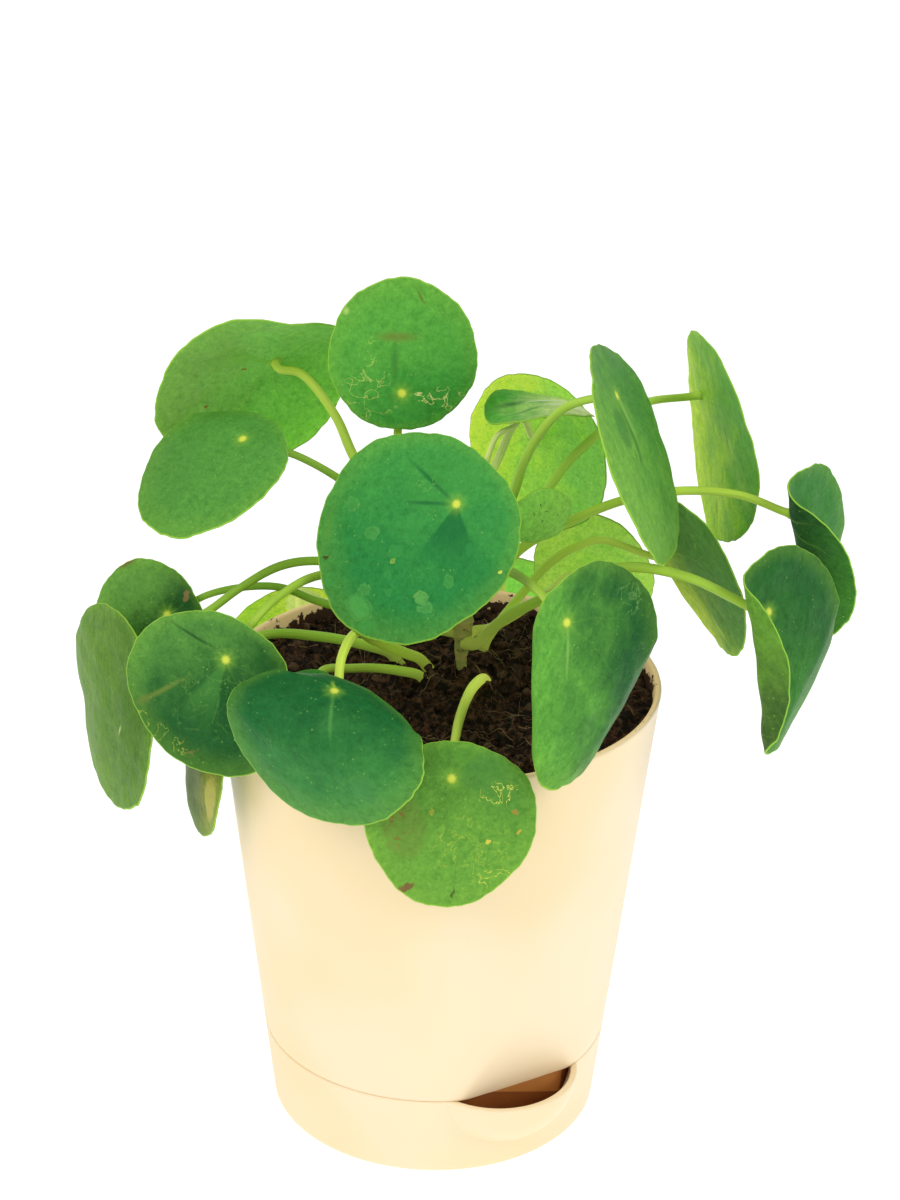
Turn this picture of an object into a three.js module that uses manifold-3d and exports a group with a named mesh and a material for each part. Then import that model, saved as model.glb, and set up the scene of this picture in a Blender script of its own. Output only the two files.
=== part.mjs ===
// A potted Chinese money plant (Pilea peperomioides) in a two-piece self-watering pot.
// Millimetres, +Z up. The origin is the middle of the pot's flat underside, and -Y is the front.

import * as THREE from 'three';
import { mergeVertices } from 'three/addons/utils/BufferGeometryUtils.js';
import Module from 'manifold-3d';

const wasm = await Module();
wasm.setup();

const DEGREE = Math.PI / 180;
const FIT = 0.3;                 // gap between pieces that touch in the real plant

// ---------------------------------------------------------------- pot sizes
const POT_HEIGHT = 140;
const FOOT_RADIUS = 49;          // outer radius at the table
const RIM_RADIUS = 65;           // outer radius at the rim
const RIM_EDGE = 0.8;            // rounding of the rim
const WALL = 2;
const SEAM_HEIGHT = 27;          // where the pot meets the reservoir
const SEAM_GAP = 0.4;
const NEST_GAP = 0.5;            // all round between the pot's skirt and the reservoir
const STEP_RISE = 4;             // how far above the seam the inside of the wall reaches its full width
const FLOOR_HEIGHT = 14;         // underside of the pot's floor, over the water
const FLOOR_THICKNESS = 2;
const WICK_RADIUS = 6;           // the felt wick that stands in the water and reaches into the soil
const WICK_TOP = 24;
const WICK_EDGE = 0.6;           // bevel of its cut ends
const DRAIN_HOLES = 10;
const DRAIN_HOLE_RADIUS = 2.4;
const DRAIN_CIRCLE = 33;
const BASE_FLOOR = 2.5;
const BASE_EDGE = 2.4;           // rounding of the bottom edge
const INNER_EDGE = 2;            // the same inside
const BEYOND = 160;              // longer than the pot, for blocks that only cut it
const ROUND_SIDES = 40;
const WICK_SIDES = 20;

// The filling spout: a spoon-shaped lip on the reservoir under a flat facet of the pot.
const SPOUT_TURN = 30.6;         // degrees from the front towards +X
const SPOUT_CHORD = 48.6;        // from the axis to the facet at the seam
const SPOUT_REACH = 59.4;        // from the axis to the inside of the lip
const SPOUT_RADIUS = 22;         // plan radius of the inside of the lip
const SPOUT_DEPTH = 19.2;        // depth of the inside of the lip below the seam
const FACET_TOP = 50;            // height where the leaning facet runs out into the wall

// ---------------------------------------------------------------- soil and crown sizes
const SOIL_EDGE = 134.2;         // soil height at the wall
const SOIL_MOUND = 3.6;          // extra height under the crown
const CROWN = { x: 6.4, y: 12, bottom: 127, top: 176, tip: 1.5 };
const CROWN_SIDES = 14;
const CROWN_SHAPE = [[127, 1.6], [139.5, 1.6], [146, 2.3], [151, 3.1], [174.5, 2.9]];   // heights and radii

// ---------------------------------------------------------------- leaf sizes
const BLADE_THICKNESS = 0.8;
const BLADE_SECTORS = 24;
const BLADE_RINGS = 3;
const FOLDED_SECTORS = 30;
const FOLDED_RINGS = 5;
const FOLDED_FROM = 60;          // degrees of bend that make a blade a folded one
const OUTLINE_WAVES = [[3, 0.012], [7, 0.009]];   // waves round the outline and their height over the radius
const EDGE_RIPPLE = 0.35;        // height of the four waves that lift and lower the edge
const DIMPLE_DEPTH = 0.8;        // the dip over the stalk
const DIMPLE_REACH = 0.22;       // of half the blade's length
const STALK_SIDES = 6;
const STALK_STEPS = 10;
const SOIL_START = 5;            // a stalk's straight length from its root in the soil
const CROWN_START = [3, 0.6];    // how far out and up a stalk leaves the crown
const HUB_END = 2.5;             // a stalk's straight length under its blade

// Each leaf: the hub where the stalk joins the blade, the way its upper face looks (turn from the front
// towards +X, and lift above level), the spin of its tip from straight downhill, its length and width,
// and its form: how far the hub sits behind and beside the middle, taper, dome, roll and bends.
// A bend is [direction of its line's normal, distance from the middle, radius, angle].
// A stalk runs from its root through its way points to the hub. A root [turn, height] is on the crown,
// and a root [x, y, height] is in the soil.
const LEAVES = [
  { hub: [-12, 12, 224], face: [0, 15, 180], size: [43.5, 42.5], offset: [0.5, 0], dome: 2.5,
    root: [195, 172], way: [[-8, 10, 192], [-13, 14, 208]], stalk: 1.35 },
  { hub: [-50, 40, 223], face: [-153, 23, 85], size: [62, 60], offset: [0.21, 0.18], taper: 0.02, dome: 3.5,
    roll: [0.015, -0.015], root: [150, 168],
    way: [[-14, 18, 186], [-25.4, 22, 199.2], [-31.8, 29, 210.4], [-42.3, 37, 220.2]], stalk: 1.5 },
  { hub: [-57, 5, 212], face: [-41, 55, 1], size: [48.5, 46], offset: [0.48, 0.19], taper: 0.08, dome: 3,
    bends: [[175, 13, 7, -17]], root: [172, 164],
    way: [[-13, 10, 184], [-30.1, 9, 198.8], [-40.9, 8, 205.5], [-45.1, 7, 207.4]], stalk: 1.25 },
  { hub: [4, -28, 207], face: [-29, 33, -82], size: [62, 60], offset: [0.36, -0.33], taper: -0.08, dome: 2.5,
    root: [270, 170], way: [[8, -4, 186], [8, -14, 197]], stalk: 1.5 },
  { hub: [-80, 8, 155], face: [-27, 20, -90], size: [38, 36], offset: [0.36, -0.2], taper: -0.08, dome: 3,
    root: [182, 149],
    way: [[-16, 13, 153.5], [-35.6, 14, 157.2], [-47.3, 13, 162.2], [-58.9, 12, 162.3], [-69.1, 11, 159.9]],
    stalk: 1.2 },
  { hub: [-95, -8, 149], face: [-61, 4, 43], size: [61, 57], offset: [0.41, 0.39], taper: 0.08, dome: 2,
    roll: [0.008, 0], root: [185, 156],
    way: [[-14, 7, 169], [-35, 3, 175.3], [-46.4, 0, 174.8], [-57.8, -3, 169], [-67.8, -5, 161.8]],
    stalk: 1.3 },
  { hub: [-59, -42, 165], face: [-16, 10, -31], size: [46, 51], offset: [0.45, -0.07], taper: -0.1, dome: 1.5,
    root: [212, 161], way: [[-12, 0, 174], [-34.2, -14, 178.5], [-43.4, -26, 178.6], [-51.2, -37, 174.9]],
    stalk: 1.3 },
  { hub: [-28, -64, 167], face: [-9, 63, -21], size: [54.5, 61.5], offset: [0.64, -0.1], taper: 0.03,
    dome: 3.5, roll: [0.006, 0], bends: [[1, -12, 14, -72], [178, 18, 6, -28]], root: [-0.7, 15.7, 132],
    way: [[-5.9, 10.5, 140.8], [-10.2, 5, 145.3], [-19, -8, 155.5], [-21.8, -19, 163], [-23.1, -31, 169],
      [-25.4, -42.5, 170.8], [-26.9, -50, 169], [-27.3, -55.5, 164.3]], stalk: 1.5 },
  { hub: [4, -70, 144], face: [6, 15, -2], size: [46.5, 47], offset: [0.56, 0], taper: 0.1, dome: 2.3,
    root: [15.8, 7, 132],
    way: [[13.1, 3, 138.3], [10.1, -7, 140.9], [7.8, -19, 142.3], [6.1, -32, 143.4], [5, -46, 144.9]],
    stalk: 1.45 },
  { hub: [-69, -18, 126], face: [-69, 4, 5], size: [40, 37], offset: [0.41, 0], taper: 0.11, dome: 2,
    root: [-10, 19.5, 132],
    way: [[-14.9, 17, 139.4], [-20.7, 12, 144], [-35, 1, 152.1], [-51.1, -10, 157.4], [-63, -15.5, 153],
      [-66, -16, 140]], stalk: 1.45 },
  { hub: [34, -63, 188], face: [43, 7, -24], size: [64, 57], offset: [0.44, -0.48], taper: 0.03, dome: 4,
    roll: [0, 0.02], bends: [[62, 15, 8, -15], [-72, 14.5, 8, -87]], root: [292, 163],
    way: [[14, -5, 177], [20.2, -22, 183.8], [24.6, -36, 186.9], [28.5, -48, 188.2]], stalk: 1.4 },
  { hub: [48, -8, 232], face: [78, 23, -4], size: [64.5, 59], offset: [0.54, 0.06], dome: 2.6,
    roll: [-0.004, -0.005], root: [330, 172],
    way: [[15, 8, 184], [20, 6, 195.1], [23.1, 4, 206.8], [28, 2, 217.5], [34, 0, 225], [41.4, -4, 229.4]],
    stalk: 1.4 },
  { hub: [78, 60, 207], face: [105, 6, 2], size: [65, 60.5], offset: [0.31, 0.34], taper: 0.05, dome: 2.6,
    roll: [-0.008, -0.012], root: [36, 164],
    way: [[19, 19, 176], [30.5, 24, 189.9], [37.1, 27, 198.3], [44.8, 29, 205.5], [52.1, 33, 209.7],
      [60.4, 46, 209.6]], stalk: 1.4 },
  { hub: [102, 14, 188], face: [52, -1, 5], size: [54.5, 49], offset: [0.53, -0.16], taper: -0.05, dome: 1.5,
    bends: [[-80, -0.5, 6.4, 97]], root: [4, 159],
    way: [[22.3, 13, 175.1], [38, 14, 184.8], [53, 16, 190.6], [68.9, 17, 193.3], [86.4, 17, 192.3]],
    stalk: 1.4 },
  { hub: [92, -26, 175], face: [46, 13, -11], size: [59.5, 53.5], offset: [0.39, -0.29], dome: 1.5,
    bends: [[-80, 11, 5, 104], [51, 11, 8, -30]], root: [318, 146.5],
    way: [[14.6, 7, 152.2], [20.2, 3, 159.1], [28.6, -4, 167.3], [41, -11, 177.1], [52.6, -17, 184],
      [69.8, -22, 183.2]], stalk: 1.55 },
  { hub: [68, 38, 165], face: [117, 19, -49], size: [52.5, 50.5], offset: [0.52, 0.37], dome: 2.7,
    roll: [-0.012, -0.01], root: [11, 23.5, 132],
    way: [[14.3, 24, 141.6], [25.1, 28, 155.8], [30.9, 30, 162.5], [38.2, 32, 167.4], [47.2, 34, 169.9]],
    stalk: 1.3 },
  { hub: [29, 48, 198], face: [146, 5, -1], size: [51, 49], offset: [0.22, 0], taper: 0.04, dome: 2.4,
    root: [78, 171], way: [[10, 24, 183], [16.7, 34, 196.7], [20.2, 40, 202.9], [23.1, 43, 205.3]],
    stalk: 1.3 },
  { hub: [21, 20, 216], face: [189, 84, -72], size: [31.5, 30], offset: [0.48, 0], dome: 3.9,
    roll: [-0.045, -0.012], root: [100, 174], way: [[9, 18, 190], [12.7, 17, 201.9], [15.7, 19, 209]],
    stalk: 0.9 },
  { hub: [31, 3, 191], face: [20, -5, -76], size: [20, 17], offset: [0.29, 0], dome: 2,
    root: [352, 167], way: [[18, 9, 177], [26, 7, 186]], stalk: 0.9 },
  { hub: [49, 60, 139.5], face: [165, 8, 170], size: [42, 38], offset: [0.45, 0], dome: 2.5,
    root: [48, 147], way: [[14.7, 16, 148.7], [29.7, 32, 151.1], [40.8, 50, 151.1]], stalk: 1.3 },
  { hub: [21.9, 74, 125], face: [178, 6, 180], size: [36, 34], offset: [0.3, 0], dome: 2.5,
    root: [85, 155], way: [[10, 32, 156], [15.6, 58, 149], [18.5, 66.5, 141]], stalk: 1.2 },
  { hub: [-46, 76, 124], face: [-165, 22, 10], size: [44, 42], offset: [0.35, 0], dome: 2.5,
    root: [125, 154], way: [[-12, 28, 153], [-34.2, 44, 142.3], [-39.3, 50, 142.6], [-43.6, 56, 141.2]],
    stalk: 1.2 },
  { hub: [-37, -36, 153], face: [-40, 60, 0], size: [24, 22], offset: [0.35, 0], dome: 1.5,
    root: [-1.9, 7, 131],
    way: [[-5.7, 4, 138.4], [-11.5, -1, 142.4], [-18.7, -7, 146.1], [-25.7, -14, 149.3], [-33.3, -23, 152.7]],
    stalk: 1.35 },
];

// ---------------------------------------------------------------- colours
const finish = (color, roughness) => new THREE.MeshStandardMaterial({ color, roughness, metalness: 0 });
const CREAM = finish('#f6eacb', 0.42);
const SOIL = finish('#2e1d14', 0.95);
const LEAF = finish('#3f8f3a', 0.38);
const UNDERLEAF = finish('#7fb63c', 0.5);
const STALK = finish('#93bd42', 0.45);
const BARK = finish('#6c7a38', 0.8);
const FELT = finish('#e9e4d6', 0.95);

// ---------------------------------------------------------------- solids
const toSolid = (geometry) => {
  const bare = geometry.clone();
  bare.deleteAttribute('normal');
  bare.deleteAttribute('uv');
  const merged = mergeVertices(bare, 1e-4);
  return new wasm.Manifold(new wasm.Mesh({
    numProp: 3,
    vertProperties: new Float32Array(merged.attributes.position.array),
    triVerts: new Uint32Array(merged.index.array),
  }));
};

const toGeometry = (solid) => {
  const mesh = solid.getMesh();
  const geometry = new THREE.BufferGeometry();
  geometry.setAttribute('position', new THREE.BufferAttribute(new Float32Array(mesh.vertProperties), 3));
  geometry.setIndex(new THREE.BufferAttribute(new Uint32Array(mesh.triVerts), 1));
  geometry.computeVertexNormals();
  return geometry;
};

// A body of revolution about Z from [radius, height] points that run round it with the inside on the left.
const turned = (points, sides = ROUND_SIDES) =>
  new THREE.LatheGeometry(points.map(([radius, height]) => new THREE.Vector2(radius, height)), sides)
    .rotateX(Math.PI / 2);

const cylinder = (radius, low, high, sides, x = 0, y = 0) =>
  new THREE.CylinderGeometry(radius, radius, high - low, sides)
    .rotateX(Math.PI / 2)
    .translate(x, y, (low + high) / 2);

const ellipsoid = (level, drop, x, y, z) =>
  new THREE.SphereGeometry(1, 32, 16).rotateX(Math.PI / 2).scale(level, level, drop).translate(x, y, z);

const wallRadius = (height) => FOOT_RADIUS + (RIM_RADIUS - FOOT_RADIUS) * height / POT_HEIGHT;

// ---------------------------------------------------------------- pot
const spoutWay = new THREE.Vector3(Math.sin(SPOUT_TURN * DEGREE), -Math.cos(SPOUT_TURN * DEGREE), 0);
const facetLean = Math.atan2(wallRadius(FACET_TOP) - SPOUT_CHORD, FACET_TOP - SEAM_HEIGHT);

// The half-space outside the facet, as a large block, moved inward by `inset`.
const beyondFacet = (inset) => {
  const block = new THREE.BoxGeometry(BEYOND, BEYOND, BEYOND).translate(0, -BEYOND / 2, 0);
  block.rotateX(facetLean);
  block.translate(0, inset / Math.cos(facetLean), 0);
  block.translate(0, -SPOUT_CHORD, SEAM_HEIGHT);
  block.rotateZ(SPOUT_TURN * DEGREE);
  return toSolid(block);
};

const insideBottom = FLOOR_HEIGHT + FLOOR_THICKNESS;
const skirtRadius = (height) => wallRadius(height) - WALL - NEST_GAP;
const skirtInside = (height) => skirtRadius(height) - WALL;

const potOutline = [
  [0, FLOOR_HEIGHT], [skirtRadius(FLOOR_HEIGHT), FLOOR_HEIGHT],
  [skirtRadius(SEAM_HEIGHT), SEAM_HEIGHT + SEAM_GAP],
  [wallRadius(SEAM_HEIGHT), SEAM_HEIGHT + SEAM_GAP],
  [wallRadius(POT_HEIGHT - RIM_EDGE), POT_HEIGHT - RIM_EDGE],
  [RIM_RADIUS - 0.6 * RIM_EDGE, POT_HEIGHT - 0.2 * RIM_EDGE],
  [RIM_RADIUS - 1.2 * RIM_EDGE, POT_HEIGHT], [0, POT_HEIGHT],
];

// The space inside the pot, shrunk by `gap` for what fills it, up to `top`.
const insideOutline = (gap, top) => [
  [0, insideBottom + gap], [skirtInside(insideBottom) - gap, insideBottom + gap],
  [skirtInside(SEAM_HEIGHT) - gap, SEAM_HEIGHT + WALL],
  [wallRadius(SEAM_HEIGHT + STEP_RISE) - WALL - gap, SEAM_HEIGHT + STEP_RISE],
  [wallRadius(top) - WALL - gap, top], [0, top],
];

const makePot = () => {
  let pot = toSolid(turned(potOutline)).subtract(beyondFacet(0));
  pot = pot.subtract(toSolid(turned(insideOutline(0, BEYOND))).subtract(beyondFacet(WALL)));
  for (let i = 0; i < DRAIN_HOLES; i += 1) {
    const turn = (i + 0.5) * 2 * Math.PI / DRAIN_HOLES;
    const hole = cylinder(DRAIN_HOLE_RADIUS, FLOOR_HEIGHT - 1, insideBottom + 1, 8,
      DRAIN_CIRCLE * Math.cos(turn), DRAIN_CIRCLE * Math.sin(turn));
    pot = pot.subtract(toSolid(hole));
  }
  pot = pot.subtract(toSolid(cylinder(WICK_RADIUS + FIT, FLOOR_HEIGHT - 1, insideBottom + 1, WICK_SIDES)));
  return toGeometry(pot);
};

const makeReservoir = () => {
  const outside = [
    [0, 0], [wallRadius(0) - BASE_EDGE, 0], [wallRadius(0) - 0.3 * BASE_EDGE, 0.3 * BASE_EDGE],
    [wallRadius(BASE_EDGE), BASE_EDGE], [wallRadius(SEAM_HEIGHT), SEAM_HEIGHT], [0, SEAM_HEIGHT],
  ];
  const inside = [
    [0, BASE_FLOOR], [wallRadius(0) - WALL - INNER_EDGE, BASE_FLOOR],
    [wallRadius(BASE_FLOOR) - WALL, BASE_FLOOR + INNER_EDGE],
    [wallRadius(BEYOND) - WALL, BEYOND], [0, BEYOND],
  ];
  const lipMiddle = spoutWay.clone().multiplyScalar(SPOUT_REACH - SPOUT_RADIUS);
  const lip = (wall) => toSolid(ellipsoid(SPOUT_RADIUS + wall, SPOUT_DEPTH + wall, lipMiddle.x, lipMiddle.y,
    SEAM_HEIGHT));
  const above = toSolid(cylinder(BEYOND, SEAM_HEIGHT, BEYOND, 16));
  let base = toSolid(turned(outside)).add(lip(WALL).subtract(above));
  base = base.subtract(toSolid(turned(inside))).subtract(lip(0));
  return toGeometry(base);
};

// The wick stands on the reservoir's floor and passes through the middle of the pot's floor.
const makeWick = () => {
  const bottom = BASE_FLOOR + FIT;
  const inner = WICK_RADIUS - WICK_EDGE;
  return turned([
    [0, bottom], [inner, bottom], [WICK_RADIUS, bottom + WICK_EDGE],
    [WICK_RADIUS, WICK_TOP - WICK_EDGE], [inner, WICK_TOP], [0, WICK_TOP],
  ], WICK_SIDES);
};

// ---------------------------------------------------------------- soil and crown
const clods = (x, y) =>
  0.5 * Math.sin(0.31 * x + 1.1) * Math.cos(0.27 * y) + 0.4 * Math.sin(0.53 * y + 0.2 * x);

const soilHeight = (x, y) => {
  const fromCrown = Math.hypot(x - CROWN.x, y - CROWN.y);
  return SOIL_EDGE + SOIL_MOUND * Math.exp(-((fromCrown / 24) ** 2)) + clods(x, y);
};

const crownRadius = (height) => {
  const above = Math.max(CROWN_SHAPE.findIndex(([level]) => level >= height), 1);
  const [[low, lowRadius], [high, highRadius]] = CROWN_SHAPE.slice(above - 1, above + 1);
  return THREE.MathUtils.mapLinear(height, low, high, lowRadius, highRadius);
};

// A stalk that grows out of the soil starts straight towards its first way point.
const rootWay = (leaf) => new THREE.Vector3(...leaf.way[0]).sub(new THREE.Vector3(...leaf.root)).normalize();

// A plain round hole in the soil along a way from a point, with room round what stands in it.
const soilHole = (start, way, radius) => {
  const length = 30;             // out through the top of the soil
  const hole = new THREE.CylinderGeometry(radius + FIT, radius + FIT, length, 12).translate(0, length / 2, 0);
  hole.applyQuaternion(new THREE.Quaternion().setFromUnitVectors(new THREE.Vector3(0, 1, 0), way));
  return hole.translate(...start.clone().addScaledVector(way, -FIT));
};

const soilHoles = () => {
  const up = new THREE.Vector3(0, 0, 1);
  const rooted = LEAVES.filter((leaf) => leaf.root.length === 3);
  return [
    soilHole(new THREE.Vector3(CROWN.x, CROWN.y, CROWN.bottom), up, crownRadius(CROWN.bottom)),
    ...rooted.map((leaf) => soilHole(new THREE.Vector3(...leaf.root), rootWay(leaf), stalkRadius(leaf, 0))),
  ];
};

const makeSoil = () => {
  const rings = 6;
  const sides = 22;
  const edge = wallRadius(SOIL_EDGE) - WALL - FIT;
  const positions = [];
  const triangles = [];
  const corner = (ring, side) => (ring === 0 ? 0 : 1 + (ring - 1) * sides + (side % sides));
  for (let ring = 0; ring <= rings; ring += 1) {
    for (let side = 0; side < (ring === 0 ? 1 : sides); side += 1) {
      const turn = side * 2 * Math.PI / sides;
      const x = 1.2 * edge * ring / rings * Math.cos(turn);
      const y = 1.2 * edge * ring / rings * Math.sin(turn);
      positions.push(x, y, soilHeight(x, y));
    }
  }
  const topPoints = positions.length / 3;
  for (let i = 0; i < topPoints; i += 1) {
    positions.push(positions[3 * i], positions[3 * i + 1], BEYOND);
  }
  const pair = (a, b, c) => {
    triangles.push(a, c, b, a + topPoints, b + topPoints, c + topPoints);
  };
  for (let side = 0; side < sides; side += 1) {
    pair(0, corner(1, side), corner(1, side + 1));
    for (let ring = 1; ring < rings; ring += 1) {
      pair(corner(ring, side), corner(ring + 1, side), corner(ring + 1, side + 1));
      pair(corner(ring, side), corner(ring + 1, side + 1), corner(ring, side + 1));
    }
    const a = corner(rings, side);
    const b = corner(rings, side + 1);
    triangles.push(a, b, b + topPoints, a, b + topPoints, a + topPoints);
  }
  const air = new THREE.BufferGeometry();
  air.setAttribute('position', new THREE.Float32BufferAttribute(positions, 3));
  air.setIndex(triangles);
  const filling = toSolid(turned(insideOutline(FIT, BEYOND))).subtract(beyondFacet(WALL + FIT));
  const wickRoom = cylinder(WICK_RADIUS + FIT, insideBottom - 1, WICK_TOP + FIT, WICK_SIDES);
  let soil = filling.subtract(toSolid(air)).subtract(toSolid(wickRoom));
  for (const hole of soilHoles()) soil = soil.subtract(toSolid(hole));
  return toGeometry(soil);
};

const makeCrown = () => {
  const side = CROWN_SHAPE.map(([height, radius]) => [radius, height]);
  return turned([[0, CROWN.bottom], ...side, [CROWN.tip, CROWN.top], [0, CROWN.top]], CROWN_SIDES)
    .translate(CROWN.x, CROWN.y, 0);
};

// ---------------------------------------------------------------- leaf form
// Bends what lies beyond a straight line in the blade's plane round a cylinder of the given radius.
const bendBlade = ([x, y, h], [normalTurn, distance, radius, angle]) => {
  const c = Math.cos(normalTurn * DEGREE);
  const s = Math.sin(normalTurn * DEGREE);
  const past = x * c + y * s - distance;
  if (past <= 0) return [x, y, h];
  const along = -x * s + y * c;
  const side = Math.sign(angle);
  const swing = Math.abs(angle) * DEGREE;
  const turn = Math.min(past / radius, swing);
  const rest = Math.max(past - radius * swing, 0);
  const arm = radius - h * side;
  const out = distance + arm * Math.sin(turn) + rest * Math.cos(turn);
  const up = (radius - arm * Math.cos(turn) + rest * Math.sin(turn)) * side;
  return [out * c - along * s, out * s + along * c, up];
};

// A point of the blade in its own frame: x towards the tip, y across, h along the upper face's normal.
// `reach` runs from 0 at the hub to 1 at the edge, and `turn` is the angle round the outline.
const bladePoint = (leaf, number, reach, turn, depth) => {
  const halfLength = leaf.size[0] / 2;
  const halfWidth = leaf.size[1] / 2;
  const taper = leaf.taper ?? 0;
  const [slow, quick] = OUTLINE_WAVES;
  const wave = 1 + slow[1] * Math.sin(slow[0] * turn + number)
    + quick[1] * Math.sin(quick[0] * turn + 2 * number);
  const hubX = -leaf.offset[0] * halfLength;
  const hubY = leaf.offset[1] * halfWidth;
  const edgeX = halfLength * Math.cos(turn) * wave;
  const edgeY = halfWidth * Math.sin(turn) * (1 - taper * Math.cos(turn)) * wave;
  const x = hubX + reach * (edgeX - hubX);
  const y = hubY + reach * (edgeY - hubY);
  let h = -leaf.dome * ((x / halfLength) ** 2 + (y / halfWidth) ** 2);
  h -= DIMPLE_DEPTH * Math.exp(-((Math.hypot(x - hubX, y - hubY) / (DIMPLE_REACH * halfLength)) ** 2));
  h += EDGE_RIPPLE * reach ** 2 * Math.sin(4 * turn + number) - depth;
  let point = [x, y, h];
  if (leaf.roll) {
    const toTip = THREE.MathUtils.clamp((x - hubX) / (halfLength - hubX), 0, 1);
    const curve = THREE.MathUtils.lerp(leaf.roll[0], leaf.roll[1], toTip) + 1e-7;
    point = [x, (1 / curve + h) * Math.sin(curve * y), (1 / curve + h) * Math.cos(curve * y) - 1 / curve];
  }
  for (const bend of leaf.bends ?? []) point = bendBlade(point, bend);
  return point;
};

// The blade's axes in the plant: towards the tip, across, and out of the upper face.
const bladeAxes = ([turn, lift, spin]) => {
  const out = new THREE.Vector3(
    Math.sin(turn * DEGREE) * Math.cos(lift * DEGREE),
    -Math.cos(turn * DEGREE) * Math.cos(lift * DEGREE),
    Math.sin(lift * DEGREE),
  );
  const downhill = new THREE.Vector3(0, 0, -1).addScaledVector(out, out.z).normalize();
  const tip = downhill.applyAxisAngle(out, spin * DEGREE);
  return { tip, across: out.clone().cross(tip), out };
};

const leafPoint = (leaf, number, reach, turn, depth) => {
  const { tip, across, out } = bladeAxes(leaf.face);
  const [x, y, h] = bladePoint(leaf, number, reach, turn, depth);
  const [x0, y0, h0] = bladePoint(leaf, number, 0, 0, 0);
  return new THREE.Vector3(...leaf.hub)
    .addScaledVector(tip, x - x0)
    .addScaledVector(across, y - y0)
    .addScaledVector(out, h - h0);
};

const makeBlade = (leaf, number) => {
  const folded = (leaf.bends ?? []).some((bend) => Math.abs(bend[3]) > FOLDED_FROM);
  const sectors = folded ? FOLDED_SECTORS : BLADE_SECTORS;
  const rings = folded ? FOLDED_RINGS : BLADE_RINGS;
  const positions = [];
  for (const depth of [0, BLADE_THICKNESS]) {
    positions.push(...leafPoint(leaf, number, 0, 0, depth));
    for (let ring = 1; ring <= rings; ring += 1) {
      for (let sector = 0; sector < sectors; sector += 1) {
        positions.push(...leafPoint(leaf, number, ring / rings, sector * 2 * Math.PI / sectors, depth));
      }
    }
  }
  const below = positions.length / 6;
  const triangles = [];
  const corner = (ring, sector) => 1 + (ring - 1) * sectors + (sector % sectors);
  const pair = (a, b, c) => triangles.push(a, b, c, a + below, c + below, b + below);
  for (let sector = 0; sector < sectors; sector += 1) {
    pair(0, corner(1, sector), corner(1, sector + 1));
    for (let ring = 1; ring < rings; ring += 1) {
      pair(corner(ring, sector), corner(ring + 1, sector), corner(ring + 1, sector + 1));
      pair(corner(ring, sector), corner(ring + 1, sector + 1), corner(ring, sector + 1));
    }
    const a = corner(rings, sector);
    const b = corner(rings, sector + 1);
    triangles.push(a, a + below, b + below, a, b + below, b);
  }
  const geometry = new THREE.BufferGeometry();
  geometry.setAttribute('position', new THREE.Float32BufferAttribute(positions, 3));
  geometry.setIndex(triangles);
  geometry.computeVertexNormals();
  return geometry;
};

// ---------------------------------------------------------------- stalk form
// The stalk's thickness eases from its root to its hub.
const stalkRadius = (leaf, share) => leaf.stalk * (1.12 - 0.3 * share);

const stalkRoute = (leaf, number) => {
  const start = [];
  if (leaf.root.length === 3) {
    const root = new THREE.Vector3(...leaf.root);
    start.push(root, root.clone().addScaledVector(rootWay(leaf), SOIL_START));
  } else {
    const [turn, z] = leaf.root;
    const way = new THREE.Vector3(Math.cos(turn * DEGREE), Math.sin(turn * DEGREE), 0);
    const foot = new THREE.Vector3(CROWN.x, CROWN.y, z);
    const side = Math.max(crownRadius(z), crownRadius(z + leaf.stalk));
    start.push(foot.clone().addScaledVector(way, side + FIT));
    start.push(foot.clone().addScaledVector(way, side + CROWN_START[0]).setZ(z + CROWN_START[1]));
  }
  const { out } = bladeAxes(leaf.face);
  const under = leafPoint(leaf, number, 0, 0, BLADE_THICKNESS + FIT + 0.2);
  const route = [...start, ...leaf.way.map((point) => new THREE.Vector3(...point))];
  route.push(under.clone().addScaledVector(out, -HUB_END), under);
  return new THREE.CatmullRomCurve3(route, false, 'centripetal');
};

const makeStalk = (leaf, number) => {
  const route = stalkRoute(leaf, number);
  const frames = route.computeFrenetFrames(STALK_STEPS, false);
  const positions = [];
  for (let step = 0; step <= STALK_STEPS; step += 1) {
    const share = step / STALK_STEPS;
    const middle = route.getPointAt(share);
    const radius = stalkRadius(leaf, share);
    for (let side = 0; side < STALK_SIDES; side += 1) {
      const turn = side * 2 * Math.PI / STALK_SIDES;
      const point = middle.clone()
        .addScaledVector(frames.normals[step], radius * Math.cos(turn))
        .addScaledVector(frames.binormals[step], radius * Math.sin(turn));
      positions.push(...point);
    }
  }
  const corner = (step, side) => step * STALK_SIDES + (side % STALK_SIDES);
  const triangles = [];
  for (let step = 0; step < STALK_STEPS; step += 1) {
    for (let side = 0; side < STALK_SIDES; side += 1) {
      const [a, b] = [corner(step, side), corner(step, side + 1)];
      const [c, d] = [corner(step + 1, side), corner(step + 1, side + 1)];
      triangles.push(a, b, d, a, d, c);
    }
  }
  for (let side = 1; side < STALK_SIDES - 1; side += 1) {
    triangles.push(corner(0, 0), corner(0, side + 1), corner(0, side));
    triangles.push(corner(STALK_STEPS, 0), corner(STALK_STEPS, side), corner(STALK_STEPS, side + 1));
  }
  const geometry = new THREE.BufferGeometry();
  geometry.setAttribute('position', new THREE.Float32BufferAttribute(positions, 3));
  geometry.setIndex(triangles);
  geometry.computeVertexNormals();
  return geometry;
};

// ---------------------------------------------------------------- the plant in its pot
const plant = new THREE.Group();

const place = (name, geometry, material) => {
  const mesh = new THREE.Mesh(geometry, material);
  mesh.name = name;
  plant.add(mesh);
};

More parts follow.
